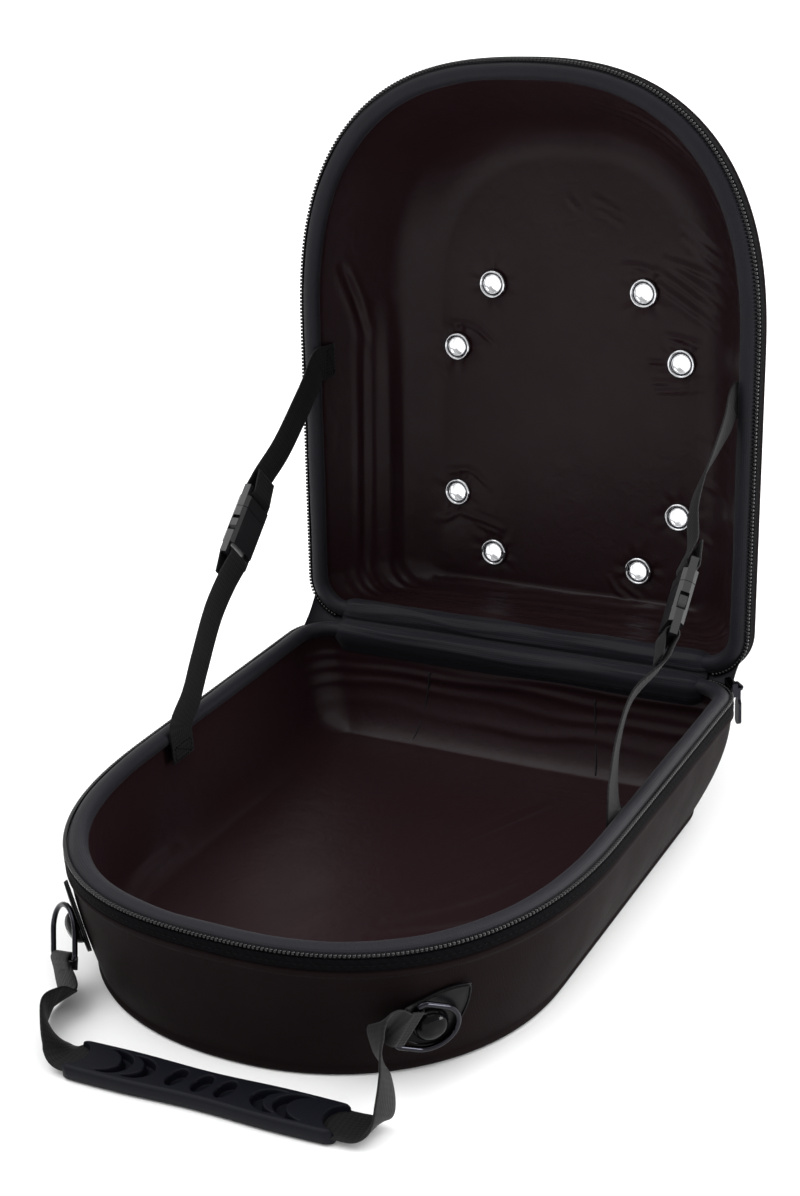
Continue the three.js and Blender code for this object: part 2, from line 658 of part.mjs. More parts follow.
// How each slack stay runs: along is the share of the way from the lid to the tray, bow a share of
// STAY_BOW towards -x and twist a share of STAY_TWIST. The row marked buckle is the buckle's middle.
const STAYS = {
  left_stay: { side: -1, buckle: { along: 0.44, bow: 0.85, twist: 0 },
    lid: [
      { along: 0.25, bow: 0.45, twist: 0 },
      { along: 0.13, bow: 0.12, twist: 0 },
      { along: 0.06, bow: 0.00, twist: 0 },
    ],
    tray: [
      { along: 0.70, bow: 0.80, twist: 0 },
      { along: 0.84, bow: 0.35, twist: 0 },
      { along: 0.93, bow: 0.00, twist: 0 },
    ] },
  right_stay: { side: 1, buckle: { along: 0.48, bow: -0.2, twist: 1.0 },
    lid: [
      { along: 0.29, bow: 0.55, twist: 1.0 },
      { along: 0.22, bow: 0.65, twist: 0.95 },
      { along: 0.12, bow: 0.25, twist: 0.55 },
      { along: 0.05, bow: 0.00, twist: 0.20 },
    ],
    tray: [
      { along: 0.74, bow: 0.95, twist: 0.70 },
      { along: 0.84, bow: 1.05, twist: 0.50 },
      { along: 0.94, bow: 0.55, twist: 0.20 },
    ] },
};

// Stays: from the lid's inner wall to the tray's, with the buckle about half way
function stay([name, { side, buckle, lid, tray }]) {
  const sew = LINING_INNER + clearance + STAY_THICKNESS / 2;
  const overBand = SKIN_INSET + BAND_WIDTH + clearance + STAY_THICKNESS / 2;
  const wallX = (half, depth) => (
    side * Math.min(planAt(half, depth, sew + half.side * 0.02).half, RIM_WIDTH / 2 - overBand));
  const sewnDepth = BAND_BOTTOM + clearance + STAY_SEWN_LENGTH;
  const lidEnd = [sewnDepth, BAND_BOTTOM + 1, -BAND_RISE].map((d) => inLid(wallX(LID, d), STAY_LID_PLACE, d));
  const baseEnd = [sewnDepth, BAND_BOTTOM + 1, -BAND_RISE].map((d) => inBase(wallX(BASE, d), STAY_BASE_PLACE, d));
  const start = lidEnd[2];
  const end = baseEnd[2];
  const direction = end.clone().sub(start).normalize();
  const edge = vector(1, 0, 0).cross(direction).normalize();
  const place = ({ along, bow, twist }) => ({
    point: start.clone().lerp(end, along).add(vector(-STAY_BOW * bow, 0, 0)),
    across: edge.clone().applyAxisAngle(direction, -radians(STAY_TWIST) * twist),
  });
  const { point: middle, across } = place(buckle);
  const face = direction.clone().cross(across).normalize();
  const placement = new THREE.Matrix4().makeBasis(across, direction.clone().negate(), face).setPosition(middle);
  const placed = (geometry) => geometry.applyMatrix4(placement);
  addMesh(part, `${name}_socket`, placed(socket()), plastic);
  addMesh(part, `${name}_plug`, placed(plug()), plastic);

  const wrapRadius = Math.hypot(BUCKLE_BAR / 2, BAR_THICKNESS / 2) + clearance + STAY_THICKNESS / 2;
  const strap = (barY, pull, sewn, rows, lie) => {
    const bar = vector(0, barY, 0).applyMatrix4(placement);
    const wrapped = wrapSections(bar, across, pull, wrapRadius, 13, 2 * STAY_THICKNESS + clearance);
    const landing = sewn.slice().reverse().map((point, i) => (
      { point, across: i === 0 ? edge.clone().lerp(lie, 0.35) : edge.clone().lerp(lie, 0.9) }));
    return ribbon([...wrapped, ...rows.map(place), ...landing], STAY_WIDTH, STAY_THICKNESS);
  };
  const up = direction.clone().negate();
  const lidLie = inLid(0, -1, 0).sub(inLid(0, 0, 0));
  const baseLie = inBase(0, -1, 0).sub(inBase(0, 0, 0));
  addMesh(part, `${name}_lid_strap`, strap(PLUG_BAR_Y, up, lidEnd, lid, lidLie), webbing);
  addMesh(part, `${name}_base_strap`, strap(SOCKET_BAR_Y, direction, baseEnd, tray, baseLie), webbing);
}

// Carrying handle: places where it hangs on the tray's front, then the grip on the table
const HANDLE_SIDES = [
  { name: 'left', side: -1, raise: 1, tipTurn: 0, ringTurn: 20, ringTilt: 20, ringSwing: 20, offWall: -0.1 },
  { name: 'right', side: 1, raise: 0.4, tipTurn: -48, ringTurn: -119, ringTilt: 8, ringSwing: 0, offWall: 0.35 },
];

// A frame on the outer skin: x to the right as seen from outside, y up the wall and z outwards
function anchorFrame(side, place) {
  const angle = side > 0 ? radians(ANCHOR_TURN) : Math.PI - radians(ANCHOR_TURN);
  const at = (turn, depth) => {
    const [x, y] = archPoint(planAt(BASE, depth, SKIN_INSET), turn);
    return inBase(x, y, depth);
  };
  const step = 0.01;
  const right = at(angle - step, place).sub(at(angle + step, place)).normalize();
  const up = at(angle, place - 1).sub(at(angle, place + 1)).normalize();
  const out = right.clone().cross(up).normalize();
  const upright = out.clone().cross(right);
  return new THREE.Matrix4().makeBasis(right, upright, out).setPosition(at(angle, place));
}

function patchGeometry() {
  const shape = new THREE.Shape();
  const lean = Math.acos(PATCH_RADIUS / PATCH_TIP);
  const sx = PATCH_RADIUS * Math.sin(lean);
  const sy = PATCH_RADIUS * Math.cos(lean);
  shape.moveTo(0, PATCH_TIP);
  shape.quadraticCurveTo(-sx * 0.75, PATCH_TIP * 0.62, -sx, sy);
  shape.absarc(0, 0, PATCH_RADIUS, Math.PI / 2 + lean, Math.PI * 2.5 - lean, false);
  shape.quadraticCurveTo(sx * 0.75, PATCH_TIP * 0.62, 0, PATCH_TIP);
  return outwards(new THREE.ExtrudeGeometry(shape, { depth: PATCH_THICKNESS, bevelEnabled: false, curveSegments: 5 }));
}

function domeGeometry() {
  const steps = 4;
  const profile = [new THREE.Vector2(0, 0), new THREE.Vector2(DOME_RADIUS, 0)];
  for (let i = 1; i < steps; i += 1) {
    const turn = (i / steps) * Math.PI / 2;
    profile.push(new THREE.Vector2(DOME_RADIUS * Math.cos(turn), DOME_HEIGHT * Math.sin(turn)));
  }
  profile.push(new THREE.Vector2(0, DOME_HEIGHT));
  return outwards(new THREE.LatheGeometry(profile, 14).rotateX(Math.PI / 2));
}

// Middle line of the D-shaped ring, its straight bar at -y
const RING_BAR_Y = -(DOME_RADIUS + clearance + CARRY_THICKNESS + clearance + RING_WIRE / 2 + 0.6);

function ringLine() {
  const points = [];
  for (let i = 0; i <= 12; i += 1) {
    const turn = (i / 12) * Math.PI;
    points.push(vector(RING_RADIUS * Math.cos(turn), RING_RADIUS * Math.sin(turn), 0));
  }
  for (const side of [-1, 1]) {
    for (let i = 0; i <= 2; i += 1) {
      const turn = (side < 0 ? i / 2 : 1 - i / 2) * Math.PI / 2;
      const x = side * (RING_RADIUS - RING_BAR_CORNER * (1 - Math.cos(turn)));
      points.push(vector(x, RING_BAR_Y + RING_BAR_CORNER * (1 - Math.sin(turn)), 0));
    }
  }
  return points;
}

function ringGeometry() {
  const line = ringLine();
  const sections = line.map((p, i) => {
    const before = line[(i + line.length - 1) % line.length];
    const after = line[(i + 1) % line.length];
    const side = after.clone().sub(before).normalize().cross(vector(0, 0, 1));
    return Array.from({ length: WIRE_SIDES }, (_, k) => {
      const turn = ((k + 0.5) / WIRE_SIDES) * Math.PI * 2;
      return p.clone().addScaledVector(side, Math.cos(turn) * RING_WIRE / 2)
        .add(vector(0, 0, Math.sin(turn) * RING_WIRE / 2));
    });
  });
  return loft(sections, true);
}

// The grip lies on the table in front of the tray
const gripCentre = vector(
  GRIP_OFFSET,
  hingeY - RIM_LENGTH - GRIP_GAP - GRIP_WIDTH / 2,
  GRIP_THICKNESS / 2,
);
const gripPlacement = new THREE.Matrix4().makeRotationZ(radians(GRIP_TURN)).setPosition(gripCentre);
const onGrip = (x, y, z) => vector(x, y, z).applyMatrix4(gripPlacement);

// Recesses in the top of the grip: middle as a share of the half length, half length and half width as
// shares of the grip's width, lean in degrees, and the bite that turns an oval into a crescent
const GRIP_RECESSES = [
  { along: -0.70, long: 0.51, wide: 0.36, lean: 0, bite: 0.25 },
  { along: -0.51, long: 0.45, wide: 0.33, lean: 0, bite: 0.24 },
  { along: -0.19, long: 0.165, wide: 0.27, lean: -14, bite: 0 },
  { along: 0.00, long: 0.165, wide: 0.27, lean: -14, bite: 0 },
  { along: 0.17, long: 0.165, wide: 0.27, lean: -14, bite: 0 },
  { along: 0.51, long: 0.45, wide: 0.33, lean: 0, bite: -0.25 },
  { along: 0.69, long: 0.51, wide: 0.36, lean: 0, bite: -0.27 },
];

function ovalPillar(x, y, halfLong, halfWide, z0, z1, lean = 0) {
  const shape = new THREE.Shape();
  shape.absellipse(x, y, halfLong, halfWide, 0, Math.PI * 2, false, radians(lean));
  const pillar = new THREE.ExtrudeGeometry(shape, { depth: z1 - z0, bevelEnabled: false, curveSegments: 6 });
  return outwards(pillar.translate(0, 0, z0));
}

// A waisted bar with recesses on top. Each end has a slot for the webbing and a scoop that bares it.
function gripGeometry() {
  const half = GRIP_LENGTH / 2;
  const wide = GRIP_WIDTH / 2;
  const top = GRIP_THICKNESS / 2;
  const corner = GRIP_WIDTH * 0.2;
  const outline = (inset) => {
    const l = half - inset;
    const w = wide - inset;
    const side = [[-l + corner, w - GRIP_WAIST / 3], [-l * 0.6, w], [0, w - GRIP_WAIST], [l * 0.6, w],
      [l - corner, w - GRIP_WAIST / 3]];
    return [
      ...side.map(([x, y]) => [x, -y]), [l, -w + corner], [l, w - corner],
      ...side.reverse(), [-l, w - corner], [-l, -w + corner],
    ];
  };
  const levels = [[-top, GRIP_EDGE], [-top + GRIP_EDGE, 0], [top - GRIP_EDGE, 0], [top, GRIP_EDGE]];
  const body = loft(levels.map(([z, inset]) => outline(inset).map(([x, y]) => vector(x, y, z))));
  const recesses = GRIP_RECESSES.map(({ along, long, wide: across, lean, bite }) => {
    const x = along * half;
    const a = long * GRIP_WIDTH;
    const b = across * GRIP_WIDTH;
    const oval = ovalPillar(x, 0, a, b, top - GRIP_RECESS, top + 1, lean);
    if (!bite) return oval;
    return cut(oval, [ovalPillar(x - bite * GRIP_WIDTH, 0, a, b * 0.98, top - GRIP_RECESS - 1, top + 2)]);
  });
  const slotHeight = CARRY_THICKNESS + 2 * clearance;
  const slots = [-1, 1].map((side) => (
    box(GRIP_SLOT_DEPTH * 2, CARRY_WIDTH + 2 * clearance, slotHeight, side * half, 0, 0)));
  const scoops = [-1, 1].map((side) => (
    ovalPillar(side * half, 0, GRIP_SCOOP, wide * 0.75, -slotHeight / 2, top + 1)));
  return cut(body, [...recesses, ...slots, ...scoops]);
}

// Loose webbing between ring and grip. Along is the share of the way from the ring to the grip; the three
// offsets are shares of CARRY_BOW; the last three columns point along the webbing's width.
const CARRY_ROUTES = {
  left: [
    { along: 0.20, x: 0.06, y: 0.04, z: -0.22, wx: 0.80, wy: -0.40, wz: 0.45 },
    { along: 0.36, x: -0.20, y: -0.13, z: -0.20, wx: 0.70, wy: -0.40, wz: 0.60 },
    { along: 0.51, x: -0.38, y: -0.30, z: -0.10, wx: 0.50, wy: -0.50, wz: 0.70 },
    { along: 0.72, x: -0.32, y: -0.24, z: -0.04, wx: 0.35, wy: -0.80, wz: 0.45 },
  ],
  right: [
    { along: 0.05, x: -0.20, y: -0.04, z: 0.31, wx: -0.55, wy: 0.00, wz: -0.80 },
    { along: 0.15, x: -0.38, y: -0.10, z: 0.55, wx: -0.72, wy: 0.38, wz: -0.55 },
    { along: 0.30, x: -0.15, y: -0.13, z: 0.44, wx: -0.60, wy: 0.55, wz: -0.55 },
    { along: 0.50, x: 0.34, y: -0.14, z: 0.27, wx: -0.20, wy: 0.80, wz: -0.60 },
    { along: 0.70, x: 0.62, y: -0.12, z: 0.13, wx: 0.00, wy: 0.80, wz: -0.60 },
    { along: 0.85, x: 0.74, y: -0.12, z: 0.08, wx: 0.00, wy: 0.90, wz: -0.35 },
    { along: 0.95, x: 0.45, y: -0.09, z: -0.03, wx: 0.00, wy: 1.00, wz: 0.00 },
  ],
};

function carryAnchor({ name, side, raise, tipTurn, ringTurn, ringTilt, ringSwing, offWall }) {
  const frame = anchorFrame(side, ANCHOR_DEPTH - raise * ANCHOR_RAISE);
  const lift = (height) => new THREE.Matrix4().makeTranslation(0, 0, height);
  const turned = (degrees) => new THREE.Matrix4().makeRotationZ(radians(degrees));
  const patchHeight = clearance;
  const domeHeight = patchHeight + PATCH_THICKNESS + clearance;
  const onWall = (...moves) => moves.reduce((all, move) => all.multiply(move), frame.clone());
  const swing = new THREE.Matrix4().makeRotationY(radians(ringSwing));
  const tilt = new THREE.Matrix4().makeRotationX(-radians(ringTilt));
  const hang = turned(ringTurn).multiply(swing).multiply(tilt);
  const lowest = Math.min(...ringLine().map((point) => point.applyMatrix4(hang).z));
  const ringFrame = onWall(lift(domeHeight + RING_WIRE / 2 - lowest), hang);
  addMesh(part, `${name}_patch`, patchGeometry().applyMatrix4(onWall(lift(patchHeight), turned(tipTurn))), leather);
  addMesh(part, `${name}_dome`, domeGeometry().applyMatrix4(onWall(lift(domeHeight))), plastic);
  addMesh(part, `${name}_ring`, ringGeometry().applyMatrix4(ringFrame), blackMetal);

  const bar = vector(0, RING_BAR_Y, 0).applyMatrix4(ringFrame);
  const along = vector(1, 0, 0).transformDirection(ringFrame);
  const outOfRing = vector(0, -1, 0).transformDirection(ringFrame);
  const pull = outOfRing.addScaledVector(vector(0, 0, 1).transformDirection(frame), offWall).normalize();
  const wrapRadius = RING_WIRE / 2 + clearance + CARRY_THICKNESS / 2;
  const wrap = wrapSections(bar, along, pull, wrapRadius, CARRY_TAIL, 2 * CARRY_THICKNESS + clearance);
  const exit = wrap[wrap.length - 1].point;
  const mouth = onGrip(side * (GRIP_LENGTH / 2 + GRIP_MOUTH), 0, 0);
  const entry = onGrip(side * GRIP_LENGTH / 2, 0, 0);
  const inner = onGrip(side * (GRIP_LENGTH / 2 - GRIP_SLOT_DEPTH + 1), 0, 0);
  const gripAcross = onGrip(0, side, 0).sub(onGrip(0, 0, 0));
  const rows = CARRY_ROUTES[name].map((row) => ({
    point: exit.clone().lerp(mouth, row.along).add(vector(row.x, row.y, row.z).multiplyScalar(CARRY_BOW)),
    across: vector(row.wx, row.wy, row.wz).normalize(),
  }));
  const knots = [wrap[wrap.length - 1], ...rows, { point: mouth, across: gripAcross }];
  const path = new THREE.CatmullRomCurve3(knots.map((knot) => knot.point), false, 'centripetal');
  const steps = Math.round(path.getLength() / CARRY_STEP);
  const free = Array.from({ length: steps }, (_, i) => {
    const t = path.getUtoTmapping((i + 1) / steps);
    const place = Math.min(Math.floor(t * (knots.length - 1)), knots.length - 2);
    const share = t * (knots.length - 1) - place;
    const point = path.getPoint(t);
    const ahead = path.getTangent(t);
    const across = knots[place].across.clone().lerp(knots[place + 1].across, share);
    across.addScaledVector(ahead, -across.dot(ahead)).normalize();
    point.z = Math.max(point.z, Math.abs(across.z) * CARRY_WIDTH / 2 + CARRY_THICKNESS / 2 + clearance);
    return { point, across };
  });
  const sections = [...wrap, ...free, { point: entry, across: gripAcross }, { point: inner, across: gripAcross }];
  addMesh(part, `carry_strap_${name}`, ribbon(sections, CARRY_WIDTH, CARRY_THICKNESS), webbing);
}

// Slider on the outside of the chain, in the middle of one facet of the right hinge corner
const sliderTurn = radians(45);
const sliderOut = vector(Math.sin(sliderTurn), Math.cos(sliderTurn), 0);
const BAR_REACH = SLIDER_THICKNESS + BAIL_REACH;

function sliderPlacement() {
  const corner = RIM_WIDTH / 2 - HINGE_CORNER;
  const facet = (HINGE_CORNER - TAPE_INSET + clearance) * Math.cos(Math.PI / (4 * CORNER_STEPS));
  const outset = facet + clearance;
  const seat = inBase(corner + outset * sliderOut.x, HINGE_CORNER - outset * sliderOut.y, 0);
  const up = vector(0, 0, 1);
  return new THREE.Matrix4().makeBasis(up.clone().cross(sliderOut), up, sliderOut).setPosition(seat);
}

function zipSlider() {
  const body = box(SLIDER_LENGTH, SLIDER_WIDTH, SLIDER_THICKNESS, 0, 0, SLIDER_THICKNESS / 2);
  const legs = [-1, 1].map((end) => (
    box(BAIL_WIRE, BAIL_WIRE, BAIL_REACH + 1, end * (SLIDER_LENGTH / 2 - BAIL_WIRE), 0, BAR_REACH - BAIL_REACH / 2)));
  const bar = new THREE.CylinderGeometry(BAIL_WIRE / 2, BAIL_WIRE / 2, SLIDER_LENGTH - 2 * BAIL_WIRE, 8)
    .rotateZ(Math.PI / 2).translate(0, 0, BAR_REACH);
  return join([body, ...legs, bar]).applyMatrix4(sliderPlacement());
}

// The pull hangs from the slider's bar by a small barrel
function zipPull() {
  const eye = BAIL_WIRE / 2 + PULL_CLEARANCE;
  const barrel = eye + PULL_THICKNESS / 2;
  const half = PULL_WIDTH / 2;
  const ringProfile = [[eye, -half], [barrel, -half], [barrel, half], [eye, half], [eye, -half]];
  const eyelet = outwards(new THREE.LatheGeometry(ringProfile.map(([r, y]) => new THREE.Vector2(r, y)), 12)).rotateZ(Math.PI / 2);
  const shape = new THREE.Shape();
  shape.moveTo(-half, -PULL_LENGTH + barrel + half);
  shape.absarc(0, -PULL_LENGTH + barrel + half, half, Math.PI, Math.PI * 2, false);
  shape.lineTo(half, -PULL_LENGTH * 0.4);
  shape.lineTo(half * 0.6, -PULL_LENGTH * 0.3);
  shape.lineTo(half * 0.6, -barrel * 0.9);
  shape.lineTo(-half * 0.6, -barrel * 0.9);
  shape.lineTo(-half * 0.6, -PULL_LENGTH * 0.3);
  shape.lineTo(-half, -PULL_LENGTH * 0.4);
  const tab = new THREE.ExtrudeGeometry(shape, { depth: PULL_THICKNESS, bevelEnabled: false, curveSegments: 6 });
  return join([eyelet, outwards(tab.translate(0, 0, -PULL_THICKNESS / 2))])
    .translate(0, 0, BAR_REACH).applyMatrix4(sliderPlacement());
}

const part = new THREE.Group();
part.add(baseGroup, lidGroup);

addMesh(baseGroup, 'base_shell', baseShell(), evaSkin);
addMesh(baseGroup, 'base_lining', lining(BASE, HINGE_FOLDS.base, BASE_INNER_ROUND), satinLining);
addMesh(baseGroup, 'base_rim_band', rimBand(BASE), paddedCloth);
addMesh(baseGroup, 'base_zip_tape', zipTape(BASE), webbing);
addMesh(baseGroup, 'base_zip_chain', zipChain(BASE), blackMetal);

addMesh(lidGroup, 'lid_shell', lidShell(), evaSkin);
addMesh(lidGroup, 'lid_lining', cut(lining(LID, HINGE_FOLDS.lid, LID_INNER_ROUND), eyeletBores()), satinLining);
addMesh(lidGroup, 'lid_rim_band', rimBand(LID), paddedCloth);
addMesh(lidGroup, 'lid_zip_tape', zipTape(LID), webbing);
addMesh(lidGroup, 'lid_zip_chain', zipChain(LID), blackMetal);
EYELETS.forEach(([x, y], i) => {
  addMesh(lidGroup, `eyelet_${i + 1}`, eyelet(), chrome).position.set(x, y, 0);
});

addMesh(part, 'hinge_strip', hingeStrip(), paddedCloth);
Object.entries(STAYS).forEach(stay);
HANDLE_SIDES.forEach(carryAnchor);
addMesh(part, 'carry_grip', gripGeometry().applyMatrix4(gripPlacement), rubber);
addMesh(part, 'zip_slider', zipSlider(), blackMetal);
addMesh(part, 'zip_pull', zipPull(), blackMetal);

export default part;
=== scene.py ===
import math

import bmesh
import bpy
import numpy as np
from bpy.props import FloatProperty, FloatVectorProperty, PointerProperty
from mathutils import Matrix, Vector


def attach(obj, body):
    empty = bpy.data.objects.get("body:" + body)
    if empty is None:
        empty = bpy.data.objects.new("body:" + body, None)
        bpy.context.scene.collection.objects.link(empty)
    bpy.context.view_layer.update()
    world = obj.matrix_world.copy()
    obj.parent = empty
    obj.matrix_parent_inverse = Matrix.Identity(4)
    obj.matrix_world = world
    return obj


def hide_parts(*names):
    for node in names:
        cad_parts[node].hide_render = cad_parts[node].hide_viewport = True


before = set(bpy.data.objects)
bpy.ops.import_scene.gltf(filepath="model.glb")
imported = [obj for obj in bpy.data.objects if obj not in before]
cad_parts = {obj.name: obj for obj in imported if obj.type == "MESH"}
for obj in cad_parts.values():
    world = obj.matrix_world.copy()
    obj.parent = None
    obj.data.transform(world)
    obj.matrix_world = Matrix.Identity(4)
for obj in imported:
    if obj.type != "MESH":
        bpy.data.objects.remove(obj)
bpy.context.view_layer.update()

bl_info = {
    "name": "Carrier case dresser",
    "version": (1, 0, 0),
    "blender": (4, 5, 0),
    "location": "View3D > Sidebar > Case",
    "description": "Builds the moulded case, its lining, zips, stays and handle over the packed frame",
    "category": "Object",
}

MM = 0.001

# Plan of the rim and the drafts of each half, as in the part's source
RIM_ARCH_LENGTH = 154 * MM
RIM_ARCH_POWER = 2.5
HINGE_CORNER = 26 * MM
COLLAR_HEIGHT = 11 * MM
HINGE_SIDE_ROUND = 0.4
TRAY_FORM = {
    "side": 18 * MM, "front": 2 * MM, "back": 20 * MM, "arch": 110 * MM, "power": 2.13,
    "corner": 26 * MM, "curve": 1.75,
}
LID_FORM = {
    "side": 38 * MM, "front": 38 * MM, "back": 2 * MM, "arch": 112 * MM, "power": 2.4,
    "corner": 26 * MM, "curve": 1.05,
}
TRAY_ROUND = 12 * MM
LID_OUTER_ROUND = 14 * MM
LID_INNER_ROUND = 17 * MM

# Walls, from outside to inside
SKIN_INSET = 1.9 * MM
SHELL_WALL = 4.5 * MM
LINING_WALL = 1.5 * MM
SEAT_GAP = 0.3 * MM
LINING_INNER = SKIN_INSET + SHELL_WALL + SEAT_GAP + LINING_WALL
BAND_RISE = 2 * MM
TAPE_THICKNESS = 1 * MM
TAPE_INSET = SKIN_INSET - SEAT_GAP - TAPE_THICKNESS
CHAIN_RISE = 0.8 * MM
CHAIN_THICKNESS = 2.3 * MM
CHAIN_WIDTH = 2.4 * MM
TAPE_TOP = CHAIN_THICKNESS - CHAIN_RISE + SEAT_GAP
TAPE_BOTTOM = TAPE_TOP + 6.1 * MM
RIDGE_OUT = 1.4 * MM
RIDGE_WIDTH = 2.4 * MM
RIDGE_GAP = 0.8 * MM
BEAD_HEIGHT = 3.4 * MM
BEAD_OUT = 1.5 * MM

# Depth where shell and lining start, just below the roll, and where the wall meets the ridge of the collar
WALL_TOP = 5.8 * MM
COLLAR_START = 15 * MM

# How much wider than an eyelet's bore the holes through shell and lining are, on each side
HOLE_ROOM = 1.2 * MM

# Longer side of the photograph in pixels, and of the camera's sensor in millimetres
PHOTO_HEIGHT = 1196
SENSOR = 36

# Steps round the outline of a fine mesh: hinge side, corner, side, arch, then the same back again
FINE = {"back": 60, "corner": 16, "side": 70, "arch": 190}
MEDIUM = {"back": 20, "corner": 10, "side": 24, "arch": 100}
CLOTH = {"back": 50, "corner": 16, "side": 70, "arch": 300}


def linear(hex_colour):
    """A linear RGB triple from an sRGB hex value such as 2a2426"""
    channels = [int(hex_colour[i:i + 2], 16) / 255 for i in (0, 2, 4)]
    return tuple(c / 12.92 if c <= 0.04045 else ((c + 0.055) / 1.055) ** 2.4 for c in channels)


def length(name, description, default):
    """A length in metres that a user can change"""
    return FloatProperty(
        name=name, description=description, default=default, min=0, unit="LENGTH", subtype="DISTANCE")


def colour(name, description, hex_colour):
    """A colour that a user can change"""
    return FloatVectorProperty(
        name=name, description=description, default=linear(hex_colour), size=3, min=0, max=1, subtype="COLOR")


class CaseSizes(bpy.types.PropertyGroup):
    rim_width: length("Rim width", "Width of the case across its rim", 0.280)
    rim_length: length("Rim length", "Length of the case from the hinge to the round front", 0.332)
    tray_depth: length("Tray depth", "Height of the tray from the table to the zip", 0.067)
    lid_depth: length("Lid depth", "Depth of the lid from the zip to its outer panel", 0.076)
    lid_lean: FloatProperty(
        name="Lid lean", description="How far the open lid leans back from upright",
        default=math.radians(5.3), subtype="ANGLE")
    roll_width: length("Roll width", "Width of the padded roll round each rim", 0.0102)
    roll_height: length("Roll height", "Height of the padded roll round each rim", 0.0075)
    tooth_pitch: length("Tooth pitch", "Distance from one zip tooth to the next", 0.0021)
    stitch_pitch: length("Stitch pitch", "Distance from one stitch to the next", 0.0032)
    thread_width: length("Thread width", "Thickness of the sewing thread", 0.0006)
    webbing_width: length("Webbing width", "Width of the stays and the carrying strap", 0.020)
    stay_thickness: length("Stay thickness", "Thickness of the stays' webbing", 0.0012)
    carry_thickness: length("Carrying strap thickness", "Thickness of the carrying strap's webbing", 0.0014)
    eyelet_bore: length("Eyelet bore", "Width of the hole through each eyelet", 0.010)
    eyelet_flange: length("Eyelet flange", "Width of each eyelet's rolled flange", 0.017)
    grip_length: length("Grip length", "Length of the moulded grip", 0.140)
    grip_width: length("Grip width", "Width of the moulded grip", 0.023)
    grip_thickness: length("Grip thickness", "Thickness of the moulded grip", 0.008)


class CaseColours(bpy.types.PropertyGroup):
    skin: colour("Outer skin", "Cloth on the outside of the moulded foam", "120a0b")
    lining: colour("Lining", "Satin cloth inside both halves", "221417")
    roll: colour("Rim roll", "Cloth of the padded rolls and the hinge", "15141b")
    webbing: colour("Webbing", "Stays and carrying strap", "151415")
    tape: colour("Zip tape", "Woven tape of the zip", "09090b")
    teeth: colour("Zip teeth", "Moulded teeth of the zip", "0b0b0d")
    thread: colour("Thread", "Sewing thread", "08080a")
    plastic: colour("Buckle plastic", "Side-release buckles", "111114")
    # The cap colour also paints the thin dark ring of painted shade in each eyelet's groove
    cap: colour("Dome cap", "Polished caps of the handle's anchors", "08080a")
    rubber: colour("Grip rubber", "Moulded grip of the carrying handle", "0e0f16")
    leather: colour("Patch leather", "Leaf-shaped patches of the handle's anchors", "0e0d10")
    dark_metal: colour("Dark metal", "Rings, zip slider and pull", "2a2a2f")
    nickel: colour("Nickel", "Plated eyelets", "d6d7da")


# Outline and placing of each half

